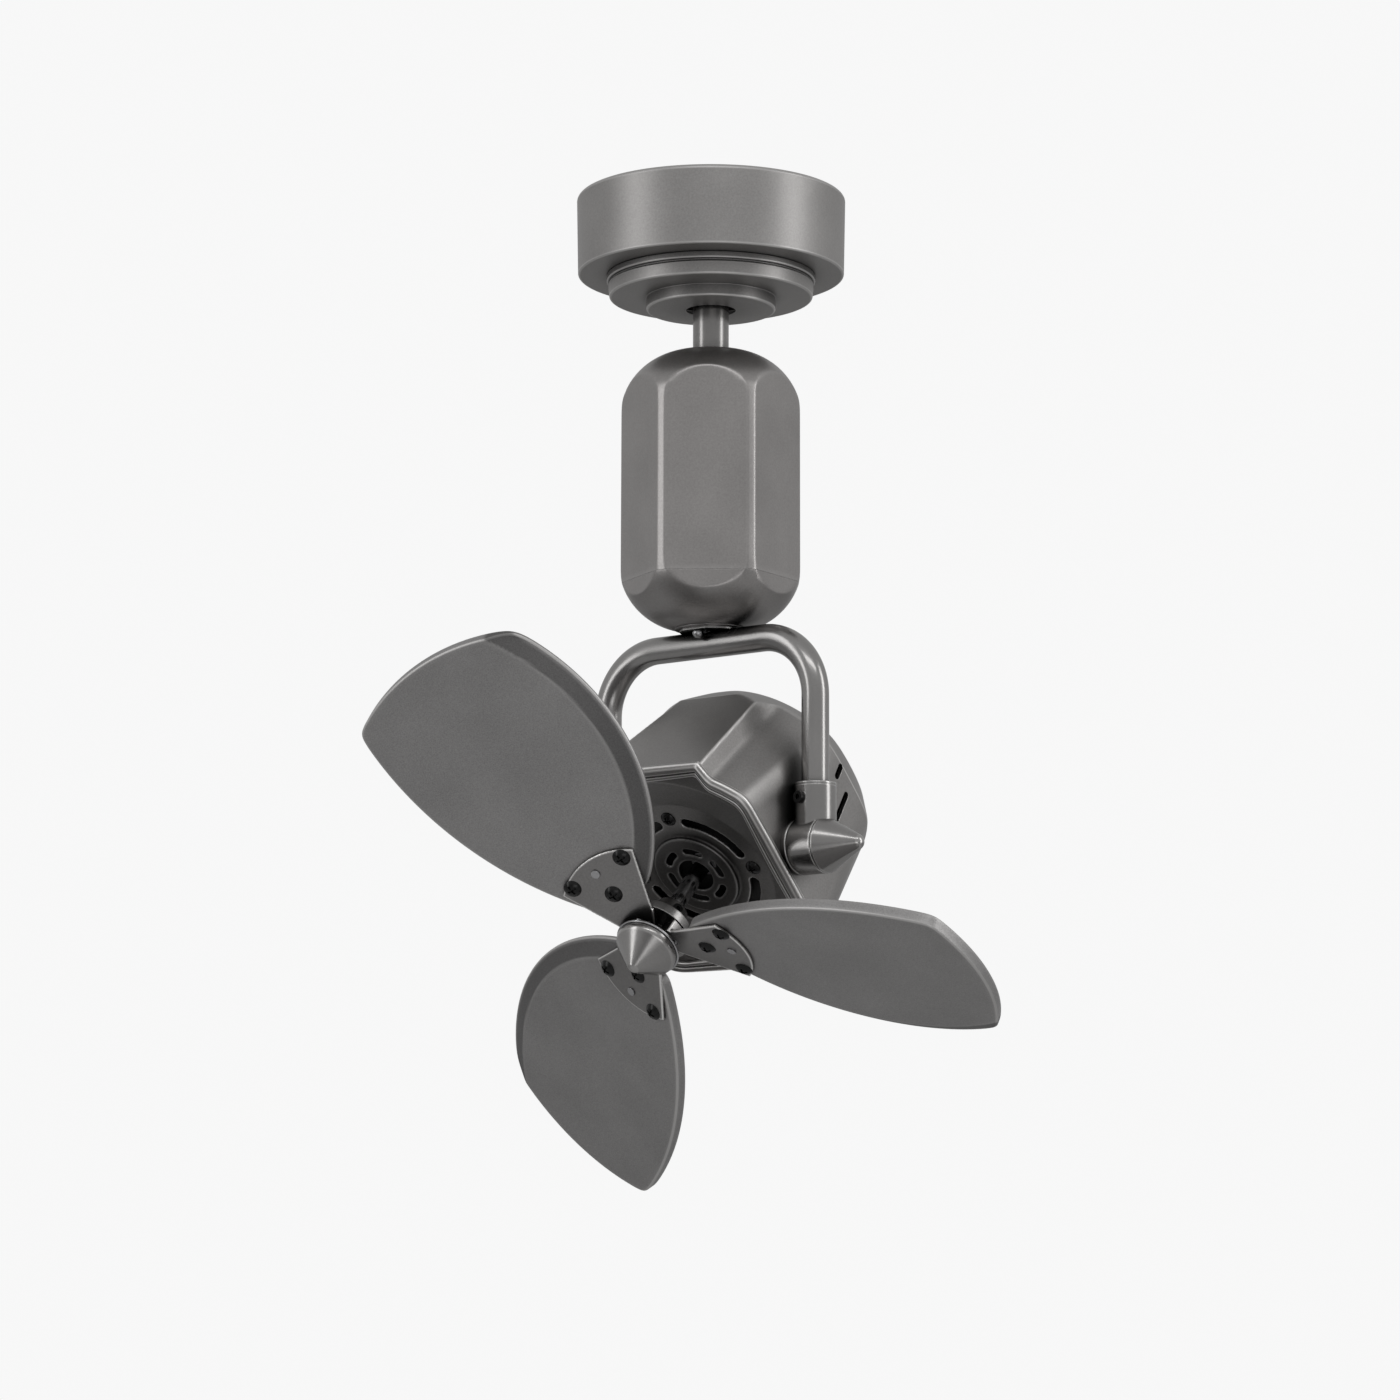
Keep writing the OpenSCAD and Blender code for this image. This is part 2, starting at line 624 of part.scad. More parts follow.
// Solid body of the head casing, drawn inwards by the offset o
module head_solid(o, z0, z1) {
  len = front_reach + rear_reach;
  intersection() {
    union() {
      intersection() {
        translate([0, axis_drop, -rear_reach]) cylinder(h = len, r1 = rear_radius - o, r2 = front_radius - o, $fn = fine);
        translate([0, 0, -rear_reach]) linear_extrude(len)
          translate([-80, -belly + o]) square([160, belly + 64 - 2 * o]);
      }
      intersection() {
        rotate([quarter, 0, quarter]) linear_extrude(2 * band_half, center = true)
          polygon([[0, -rear_reach], [band_rear - 4 - o, -rear_reach], [band_top - o, front_reach], [0, front_reach]]);
        translate([0, 0, -rear_reach]) cylinder(h = len, r1 = rear_radius + 1 - o, r2 = 100 - o, $fn = fine);
        translate([0, 0, -rear_reach]) linear_extrude(len) polygon([[-band_half + o * 0.4, 200],
          [-band_half - 5 + o * 0.4, 0], [band_half + 5 - o * 0.4, 0], [band_half - o * 0.4, 200]]);
      }
    }
    rotate([quarter, 0, 0]) linear_extrude(200, center = true) polygon([
      [-cheek_offset - rear_taper + o, -rear_reach], [cheek_offset + rear_taper - o, -rear_reach],
      [cheek_offset - o, front_reach], [-cheek_offset + o, front_reach]]);
    translate([0, 0, -rear_reach]) cylinder(h = len, r1 = rear_radius - bevel_depth - o,
      r2 = rear_radius - bevel_depth - o + len * bevel_depth / bevel_length, $fn = fine);
    translate([-120, -120, z0]) cube([240, 240, z1 - z0]);
  }
}

module motor_casing() color(metal) in_head() difference() {
  union() {
    difference() {
      head_solid(0, -rear_reach, front_reach);
      head_solid(casing_wall, -rear_reach - 1, front_reach - casing_wall);
      translate([0, 0, front_reach - casing_wall - e]) linear_extrude(10) rim_hole();
      translate([0, axis_drop, -rear_reach - 1]) cylinder(h = 4, r = rear_radius - bevel_depth - casing_wall - 0.5);
    }
    both_sides() bar_x(boss_in, boss_out, boss_radius);
  }
  both_sides() bar_x(30, 90, bolt_radius + run_gap);
  for (q = [[-70, 12, 10], [-66, -3, 18], [-62, -18, 26]]) both_sides()
    translate([cheek_offset, q[1], q[0]]) side_slot(q[2]);
}

// Hole of the front rim, a little smaller than the casing inside
module rim_hole() {
  r = front_radius - 5.5;
  intersection() {
    union() {
      translate([0, axis_drop]) circle(r = r, $fn = fine);
      translate([-band_half + 3, 0]) square([2 * band_half - 6, band_top - 5.5]);
    }
    translate([-cheek_offset + 5.5, -belly + 5.5]) square([2 * cheek_offset - 11, belly + band_top - 11]);
  }
}

// Vent slot through a cheek, of the given length
module side_slot(len) rotate([0, quarter, 0]) rotate([0, 0, 12]) {
  translate([-len, -1.5, -12]) cube([len, 3, 24]);
  for (x = [-len, 0]) translate([x, 0, -12]) cylinder(h = 24, r = 1.5, $fn = 32);
}

module rear_cover() color(metal) in_head() difference() {
  translate([0, axis_drop, -rear_reach]) cylinder(h = 3, r = rear_radius - bevel_depth - casing_wall - 0.6, $fn = fine);
  cover_post() translate([0, 0, -rear_reach - 1]) cylinder(h = 6, r = 1.8);
  for (k = [-2:2]) translate([-22, k * 9 - 1.5, -rear_reach - 1]) cube([44, 3, 6]);
}

module cover_post() for (a = [45:quarter:315]) rotate([0, 0, a]) translate([38, 0, 0]) children();

module rear_cover_screws() color(dark) in_head() cover_post() translate([0, 0, -rear_reach]) rotate([180, 0, 0])
  pan_screw(1.75, 10, 3.4, 2.2);

// Vented plate at the front of the head
module arc_slot(r, w, a0, a1) {
  difference() {
    intersection() {
      circle(r = r + w / 2);
      polygon([[0, 0], 90 * [cos(a0), sin(a0)], 110 * [cos((a0 + a1) / 2), sin((a0 + a1) / 2)], 90 * [cos(a1), sin(a1)]]);
    }
    circle(r = r - w / 2);
  }
  for (a = [a0, a1]) rotate([0, 0, a]) translate([r, 0]) circle(r = w / 2 - 0.02, $fn = 48);
}

module front_plate() color(metal) in_head() difference() {
  union() {
    difference() {
      head_solid(casing_wall + 0.02, plate_front - 2, front_reach - casing_wall - 0.02);
      translate([0, 0, plate_front]) cylinder(h = 12, r1 = 50, r2 = 110, $fn = fine);
    }
    translate([0, 0, plate_front - 2]) cylinder(h = 2, r = 52);
    translate([0, 0, plate_front - e]) cylinder(h = 3, r = 27);
  }
  translate([0, 0, plate_front - 6]) cylinder(h = 12, r = 11);
  translate([0, 0, plate_front - 3]) cylinder(h = 4, r = 24);
  for (k = [0:3]) rotate([0, 0, 45 + quarter * k]) translate([0, 0, plate_front - 6])
    linear_extrude(20) arc_slot(slot_radius, slot_width, -29, 29);
  for (k = [0:3]) rotate([0, 0, quarter * k]) translate([40, 0, plate_front - 6]) cylinder(h = 12, r = 2.1);
  for (k = [0:5]) rotate([0, 0, 60 * k + 10]) translate([0, 0, plate_front - 6])
    linear_extrude(20) arc_slot(17.5, 4, -14, 14);
}

module front_plate_screws() color(dark) in_head()
  for (k = [0:3]) rotate([0, 0, quarter * k]) translate([40, 0, plate_front]) pan_screw(2, 9, 4.6, 2.6);

// Motor inside the head
module motor_pod() color(steel) in_head() difference() {
  union() {
    translate([0, 0, pod_rear]) cylinder(h = pod_front - pod_rear, r = pod_radius);
    for (k = [0:3]) rotate([0, 0, quarter * k]) translate([40, 0, pod_front - 8]) cylinder(h = plate_front - 2 - pod_front + 8, r = 4.5);
    cover_post() translate([0, 0, -rear_reach + 3]) cylinder(h = rear_reach - 3 + pod_rear + 3, r = 4);
  }
  cover_post() translate([0, 0, -rear_reach + 2]) cylinder(h = 9, r = 1.76);
  translate([0, 0, pod_rear + 3]) cylinder(h = pod_front - pod_rear - 6, r = pod_radius - 3);
  translate([0, 0, pod_rear - 1]) cylinder(h = 80, r = 8);
  for (k = [0:3]) rotate([0, 0, quarter * k]) translate([40, 0, pod_front - 10]) cylinder(h = 20, r = 2.05);
}

module stator_core() color([0.4, 0.4, 0.42]) in_head() difference() {
  translate([0, 0, -36]) cylinder(h = 26, r = pod_radius - 3 - 0.01);
  translate([0, 0, -37]) linear_extrude(28) {
    circle(r = 21);
    for (k = [0:11]) rotate([0, 0, 30 * k]) translate([20, -3]) square([15, 6]);
  }
}

module windings() color(copper) in_head() for (k = [0:11]) rotate([0, 0, 30 * k])
  translate([22.5, -2.6, -42]) cube([12, 5.2, 38]);

module front_bearing() color(zinc) in_head() translate([0, 0, pod_front - 6]) difference() {
  cylinder(h = 6, r = 8 - 0.01);
  translate([0, 0, -1]) cylinder(h = 8, r = shaft_radius + run_gap);
}

module rear_bearing() color(zinc) in_head() translate([0, 0, pod_rear]) difference() {
  cylinder(h = 6, r = 8 - 0.01);
  translate([0, 0, -1]) cylinder(h = 8, r = shaft_radius + run_gap);
}

module rotor_core() color([0.5, 0.5, 0.52]) in_head() difference() {
  translate([0, 0, -38]) cylinder(h = 30, r = 20.5);
  translate([0, 0, -39]) cylinder(h = 32, r = shaft_radius + 0.01);
}

module motor_shaft() color(steel) in_head() {
  translate([0, 0, pod_rear + 1]) cylinder(h = spinner_base - pod_rear - 1, r = shaft_radius);
  translate([0, 0, spinner_base - e]) cylinder(h = 7, r = 2.5);
}

// Turning group
module blade_hub() color(metal) in_head() difference() {
  union() {
    translate([0, 0, hub_front - hub_flange]) cylinder(h = hub_flange, r = 20);
    translate([0, 0, hub_front - hub_flange - 14]) cylinder(h = 14 + e, r = 9.5);
    translate([0, 0, hub_front - e]) cylinder(h = spinner_base - 1.5 - hub_front + e, r = 7.2);
  }
  translate([0, 0, 30]) cylinder(h = 60, r = shaft_radius + 0.01);
  hub_lock_at() translate([0, 0, -8]) cylinder(h = 20, r = 2.01);
  for (k = [0:2]) rotate([0, 0, spin_rest - 120 * k]) translate([12.5, 0, hub_front - 20]) cylinder(h = 30, r = 1.6);
}

module hub_lock_at() translate([0, 0, hub_front - hub_flange - 8]) rotate([0, 0, 28]) rotate([0, quarter, 0])
  translate([0, 0, 9.5]) children();

module hub_lock_screw() color(dark) in_head() hub_lock_at() socket_screw(2, 9.5 - shaft_radius - 0.1, 3, 2.4);

// Fan shaped iron that carries one blade
module blade_iron(k) difference() {
  union() {
    in_blade(k) linear_extrude(iron_sheet) iron_outline();
    intersection() {
      in_head() rotate([0, 0, spin_rest - 120 * k]) translate([0, 0, hub_front]) linear_extrude(30)
        polygon([[5, -6], [19, -15], [19, 15], [5, 6]]);
      in_head() translate([0, 0, hub_front]) cylinder(h = 30, r = 19.5);
      in_blade(k) translate([-10, -40, -40]) cube([80, 80, 40 + iron_sheet]);
    }
  }
  in_blade(k) for (q = iron_holes()) translate([q[0], q[1], -5]) cylinder(h = 12, r = screw_radius + run_gap);
  in_blade(k) translate([screw_ring, 0, -5]) cylinder(h = 12, r = 1.5);
  in_head() cylinder(h = 120, r = 7.3);
  in_head() rotate([0, 0, spin_rest - 120 * k]) translate([12.5, 0, hub_front - 5]) cylinder(h = 30, r = 1.6 + run_gap);
  in_head() rotate([0, 0, spin_rest - 120 * k]) translate([12.5, 0, hub_front + 5]) cylinder(h = 30, r = 3.4);
}

function iron_holes() = [[screw_ring, -screw_swing - 1], [screw_ring, screw_swing - 1], [screw_inner, 0]];

module iron_outline() intersection() {
  polygon([[6, -5], [13, -11], [17, -13], [57, -31], [90, -40], [90, 40], [55, 28], [17, 12], [13, 10], [6, 5]]);
  translate([iron_reach - 44, -2]) circle(r = 44);
  circle(r = 66);
}

module blade_iron_1() color(metal) blade_iron(0);

module blade_iron_2() color(metal) blade_iron(1);

module blade_iron_3() color(metal) blade_iron(2);

module iron_screws() color(steel) for (k = [0:2]) in_head() rotate([0, 0, spin_rest - 120 * k])
  translate([12.5, 0, hub_front + 5]) pan_screw(1.55, 9, 3.1, 1.8);

// Blade outline from three arcs, drawn inwards by the offset o, with rounded tip corners
module blade_outline(o, lead) difference() {
  intersection() {
    translate(lead_center) circle(r = lead_radius - lead - o, $fn = 200);
    translate(trail_center) circle(r = trail_radius - o, $fn = 240);
    translate(tip_center) circle(r = tip_radius - o, $fn = 200);
    translate([root_cut + o, -90]) square([240, 180]);
  }
  corner_cut(trail_center, trail_radius - o, tip_center, tip_radius - o, max(tip_round - o, 1), -1);
  corner_cut(lead_center, lead_radius - lead - o, tip_center, tip_radius - o, max(tip_round - o, 1), 1);
}

module corner_cut(ca, ra, cb, rb, r, s) {
  c = cross_at(ca, ra - r, cb, rb - r, s);
  ua = unit(c - ca);
  ub = unit(c - cb);
  difference() {
    polygon([c, c + 3 * r * ua, c + 3 * r * unit(ua + ub), c + 3 * r * ub]);
    translate(c) circle(r = r, $fn = 64);
  }
}

// Pressed blade with a turned edge and a sloping leading edge
module blade(k) in_blade(k) difference() {
  intersection() {
    translate([0, 0, -blade_lip]) linear_extrude(blade_lip) blade_outline(0, 0);
    translate([lead_center[0], lead_center[1], -blade_lip]) cylinder(h = blade_lip + e,
      r1 = lead_radius, r2 = lead_radius - lead_width, $fn = 200);
  }
  intersection() {
    translate([0, 0, -blade_lip - 1]) linear_extrude(blade_lip + 1 - blade_sheet) blade_outline(blade_sheet, 0);
    translate([lead_center[0], lead_center[1], -blade_lip - blade_sheet * 1.25]) cylinder(h = blade_lip,
      r1 = lead_radius, r2 = lead_radius - lead_width, $fn = 200);
  }
  for (q = iron_holes()) translate([q[0], q[1], -blade_lip - 1]) cylinder(h = 20, r = screw_radius + run_gap);
  translate([screw_ring, 0, -blade_lip - 1]) cylinder(h = 20, r = 1.5);
  translate([0, 0, -30]) cylinder(h = 60, r = 21);
}

module blade_1() color(metal) blade(0);

module blade_2() color(metal) blade(1);

module blade_3() color(metal) blade(2);

module blade_screws() color(dark) for (k = [0:2]) in_blade(k) for (q = iron_holes())
  translate([q[0], q[1], iron_sheet]) pan_screw(screw_radius, iron_sheet + blade_sheet + 3, head_radius, 2.6);

module blade_rivets() color(zinc) for (k = [0:2]) in_blade(k) translate([screw_ring, 0, -blade_sheet]) {
  cylinder(h = iron_sheet + blade_sheet + e, r = 1.48);
  translate([0, 0, iron_sheet + blade_sheet]) cylinder(h = 0.8, r = 2.6);
}

module spinner_washer() color(zinc) in_head() difference() {
  translate([0, 0, spinner_base - 1.5]) cylinder(h = 1.5, r = 19.5);
  translate([0, 0, spinner_base - 3]) cylinder(h = 6, r = shaft_radius + 0.01);
}

module spinner() color(metal) in_head() translate([0, 0, spinner_base]) difference() {
  rotate_extrude($fn = fine) polygon([[0, 0], [spinner_radius - 0.5, 0], [spinner_radius, 0.5],
    [spinner_radius - 0.3, 1.8], [5.6, spinner_length - 3.6], [4.4, spinner_length - 1.6],
    [2.6, spinner_length - 0.4], [0, spinner_length]]);
  translate([0, 0, -1]) cylinder(h = 9, r = 2.51);
}

ceiling_bracket();
canopy();
canopy_screws();
stepped_cover();
terminal_block();
downrod();
downrod_pin();
downrod_nut();
gear_housing();
housing_lid();
lid_screws();
gear_plate();
plate_screws();
orbit_motor();
motor_screws();
orbit_pinion();
orbit_gear();
orbit_bearing();
orbit_shaft();
shaft_clip();
run_capacitor();
yoke_tube();
yoke_saddle();
saddle_screws();
left_pivot_hub();
right_pivot_hub();
hub_set_screws();
pivot_bolts();
pivot_nuts();
friction_washers();
left_cone_cap();
right_cone_cap();
motor_casing();
rear_cover();
rear_cover_screws();
front_plate();
front_plate_screws();
motor_pod();
stator_core();
windings();
front_bearing();
rear_bearing();
rotor_core();
motor_shaft();
blade_hub();
hub_lock_screw();
blade_iron_1();
blade_iron_2();
blade_iron_3();
iron_screws();
blade_1();
blade_2();
blade_3();
blade_screws();
blade_rivets();
spinner_washer();
spinner();
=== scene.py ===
import bpy
import bmesh
import math
import numpy as np
from mathutils import Matrix, Vector
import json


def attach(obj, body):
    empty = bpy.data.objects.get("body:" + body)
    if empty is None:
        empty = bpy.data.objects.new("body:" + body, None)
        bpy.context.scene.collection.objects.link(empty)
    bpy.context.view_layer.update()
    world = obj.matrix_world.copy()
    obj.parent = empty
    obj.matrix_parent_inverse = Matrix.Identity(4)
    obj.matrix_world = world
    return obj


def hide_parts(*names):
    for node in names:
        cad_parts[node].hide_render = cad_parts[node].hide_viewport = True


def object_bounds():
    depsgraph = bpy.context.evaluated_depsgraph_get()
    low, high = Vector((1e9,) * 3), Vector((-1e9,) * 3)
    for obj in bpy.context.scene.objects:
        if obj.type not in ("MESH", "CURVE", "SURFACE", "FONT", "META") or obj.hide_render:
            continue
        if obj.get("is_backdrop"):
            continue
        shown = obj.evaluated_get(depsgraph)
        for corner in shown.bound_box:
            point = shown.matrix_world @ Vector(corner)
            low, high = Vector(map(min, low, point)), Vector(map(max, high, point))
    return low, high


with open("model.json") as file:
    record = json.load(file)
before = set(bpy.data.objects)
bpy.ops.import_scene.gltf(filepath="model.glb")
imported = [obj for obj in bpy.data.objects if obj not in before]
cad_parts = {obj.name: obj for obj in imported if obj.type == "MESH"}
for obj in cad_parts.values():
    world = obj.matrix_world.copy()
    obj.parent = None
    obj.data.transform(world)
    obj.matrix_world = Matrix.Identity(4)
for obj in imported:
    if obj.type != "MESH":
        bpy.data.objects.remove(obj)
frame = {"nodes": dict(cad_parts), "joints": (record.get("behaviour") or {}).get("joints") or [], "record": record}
nodes = frame["nodes"]
cad_low, cad_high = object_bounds()

# Camera: a long lens to the right of the head's front and a little below it, looking slightly up.
# The lens and the place come from fitting a pinhole camera to edges and holes of the photograph.
pivot = Vector(next(j["pos_m"] for j in frame["joints"] if j["name"] == "tilt"))
camera_offset = Vector((1.58105, -2.07446, -0.31476))
camera_right = Vector((0.794183, 0.607674, 0.002399))
camera_up = Vector((0.091623, -0.123646, 0.988088))
camera_data = bpy.data.cameras.new("photo_camera")
camera_data.sensor_width = 36.0
camera_data.lens = 115.753
camera_data.clip_start = 0.05
camera_data.clip_end = 60.0
camera = bpy.data.objects.new("photo_camera", camera_data)
bpy.context.scene.collection.objects.link(camera)
camera.matrix_world = Matrix.Translation(pivot + camera_offset) @ Matrix((
    camera_right, camera_up, camera_right.cross(camera_up))).transposed().to_4x4()
bpy.context.scene.camera = camera
bpy.context.scene.view_settings.view_transform = "Standard"


# Studio: a pale floor under the hanging fan, a pale surround, two tall soft lamps, a long strip above
# and a wide weak one in front. The surround is paper white to the camera and a calmer grey to gloss.
def material(name):
    """A new material with its node tree and its Principled shader."""
    made = bpy.data.materials.new(name)
    made.use_nodes = True
    return made, made.node_tree, made.node_tree.nodes["Principled BSDF"]


paper = 0.935
gloss_grey = 0.5
room_grey = 0.3
floor_drop = 0.9
floor_half = 30.0
floor_mesh = bpy.data.meshes.new("floor")
floor_mesh.from_pydata([(-floor_half, -floor_half, 0), (floor_half, -floor_half, 0),
                        (floor_half, floor_half, 0), (-floor_half, floor_half, 0)], [], [(0, 1, 2, 3)])
floor_mesh.transform(Matrix.Translation((0, 0, cad_low.z - floor_drop)))
floor = bpy.data.objects.new("floor", floor_mesh)
bpy.context.scene.collection.objects.link(floor)
floor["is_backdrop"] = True
floor_paint, _, shader = material("floor_paint")
shader.inputs["Base Color"].default_value = (0.8, 0.8, 0.8, 1.0)
shader.inputs["Roughness"].default_value = 0.8
floor_mesh.materials.append(floor_paint)

world = bpy.data.worlds.new("studio")
bpy.context.scene.world = world
world.use_nodes = True
tree = world.node_tree
background = tree.nodes["Background"]
background.inputs["Color"].default_value = (1, 1, 1, 1)
paths = tree.nodes.new("ShaderNodeLightPath")
shiny = tree.nodes.new("ShaderNodeMath")
shiny.operation = "MAXIMUM"
tree.links.new(paths.outputs["Is Glossy Ray"], shiny.inputs[0])
tree.links.new(paths.outputs["Is Transmission Ray"], shiny.inputs[1])
strength = room_grey
for ray, level in ((shiny.outputs["Value"], gloss_grey), (paths.outputs["Is Camera Ray"], paper)):
    seen = tree.nodes.new("ShaderNodeMix")
    seen.data_type = "FLOAT"
    seen.inputs["B"].default_value = level
    tree.links.new(ray, seen.inputs["Factor"])
    if isinstance(strength, float):
        seen.inputs["A"].default_value = strength
    else:
        tree.links.new(strength, seen.inputs["A"])
    strength = seen.outputs["Result"]
tree.links.new(strength, background.inputs["Strength"])

middle = (cad_low + cad_high) / 2
toward = camera_right.cross(camera_up)
toward = Vector((toward.x, toward.y, 0)).normalized()


def soft_lamp(name, turn, far, lift, width, height, power):
    """A rectangular area lamp of the power in watts that faces the middle of the object, far metres
    from it and lift metres above it, and turned by the degrees turn about the vertical from the
    camera's side, to the right where turn is positive."""
    angle = math.radians(turn)
    across = Vector((-toward.y, toward.x, 0))
    place = middle + far * (math.cos(angle) * toward + math.sin(angle) * across) + Vector((0, 0, lift))
    data = bpy.data.lights.new(name, "AREA")
    data.shape = "RECTANGLE"
    data.size, data.size_y = width, height
    data.energy = power
    lamp = bpy.data.objects.new(name, data)
    bpy.context.scene.collection.objects.link(lamp)
    lamp.location = place
    lamp.rotation_mode = "QUATERNION"
    lamp.rotation_quaternion = (middle - place).to_track_quat("-Z", "Y")


soft_lamp("strip_right", 74, 1.8, 0.35, 0.5, 1.9, 7.6)
soft_lamp("strip_left", -66, 1.8, 0.35, 0.5, 1.9, 6.0)
soft_lamp("strip_top", 4, 1.7, 1.55, 2.0, 0.3, 6.4)
soft_lamp("fill_front", 10, 2.6, -0.9, 1.8, 1.0, 7.0)

# Gunmetal coat: a satin metallic paint on steel and die castings, with a fine speckle in its colour
# and its gloss. Edges carry a thin pale line: the coat worn thin on round corners, and a painted
# highlight along them.
speckle = bpy.data.node_groups.new("coat_speckle", "ShaderNodeTree")
for socket, kind, value in (
        ("Scale", "NodeSocketFloat", 900.0), ("Dark", "NodeSocketColor", (0.1, 0.1, 0.1, 1)),
        ("Light", "NodeSocketColor", (0.2, 0.2, 0.2, 1)), ("Roughness", "NodeSocketFloat", 0.4),
        ("Spread", "NodeSocketFloat", 0.1)):
    item = speckle.interface.new_socket(socket, in_out="INPUT", socket_type=kind)
    item.default_value = value
for socket, kind in (("Colour", "NodeSocketColor"), ("Roughness", "NodeSocketFloat"),
                     ("Grain", "NodeSocketFloat")):
    speckle.interface.new_socket(socket, in_out="OUTPUT", socket_type=kind)
g_in = speckle.nodes.new("NodeGroupInput")
g_out = speckle.nodes.new("NodeGroupOutput")
place = speckle.nodes.new("ShaderNodeTexCoord")
fine = speckle.nodes.new("ShaderNodeTexNoise")
fine.inputs["Detail"].default_value = 3.0
fine.inputs["Roughness"].default_value = 0.7
broad = speckle.nodes.new("ShaderNodeTexNoise")
broad.inputs["Scale"].default_value = 22.0
broad.inputs["Detail"].default_value = 4.0
ramp = speckle.nodes.new("ShaderNodeMapRange")
ramp.inputs["From Min"].default_value = 0.32
ramp.inputs["From Max"].default_value = 0.7
mixed = speckle.nodes.new("ShaderNodeMix")
mixed.data_type = "RGBA"
cloud = speckle.nodes.new("ShaderNodeMapRange")
cloud.inputs["From Min"].default_value = 0.3
cloud.inputs["From Max"].default_value = 0.7
cloud.inputs["To Min"].default_value = 0.93
cloud.inputs["To Max"].default_value = 1.07
toned = speckle.nodes.new("ShaderNodeVectorMath")
toned.operation = "SCALE"
lean = speckle.nodes.new("ShaderNodeMath")
lean.operation = "SUBTRACT"
lean.inputs[1].default_value = 0.5
swing = speckle.nodes.new("ShaderNodeMath")
swing.operation = "MULTIPLY_ADD"
for out, into in (
        (place.outputs["Object"], fine.inputs["Vector"]), (g_in.outputs["Scale"], fine.inputs["Scale"]),
        (place.outputs["Object"], broad.inputs["Vector"]), (fine.outputs["Fac"], ramp.inputs["Value"]),
        (ramp.outputs["Result"], mixed.inputs["Factor"]), (g_in.outputs["Dark"], mixed.inputs["A"]),
        (g_in.outputs["Light"], mixed.inputs["B"]), (mixed.outputs["Result"], toned.inputs[0]),
        (broad.outputs["Fac"], cloud.inputs["Value"]), (cloud.outputs["Result"], toned.inputs["Scale"]),
        (toned.outputs["Vector"], g_out.inputs["Colour"]), (broad.outputs["Fac"], lean.inputs[0]),
        (lean.outputs["Value"], swing.inputs[0]), (g_in.outputs["Spread"], swing.inputs[1]),
        (g_in.outputs["Roughness"], swing.inputs[2]), (swing.outputs["Value"], g_out.inputs["Roughness"]),
        (fine.outputs["Fac"], g_out.inputs["Grain"])):
    speckle.links.new(out, into)


# Gain of the pale edge line (worn coat and painted highlight), darkest tone of the painted shade in crevices, and
# loss of the painted shade attribute.
pale_edge_gain, crevice_shade_tone, painted_shade_loss = 1.6, 0.12, 0.55


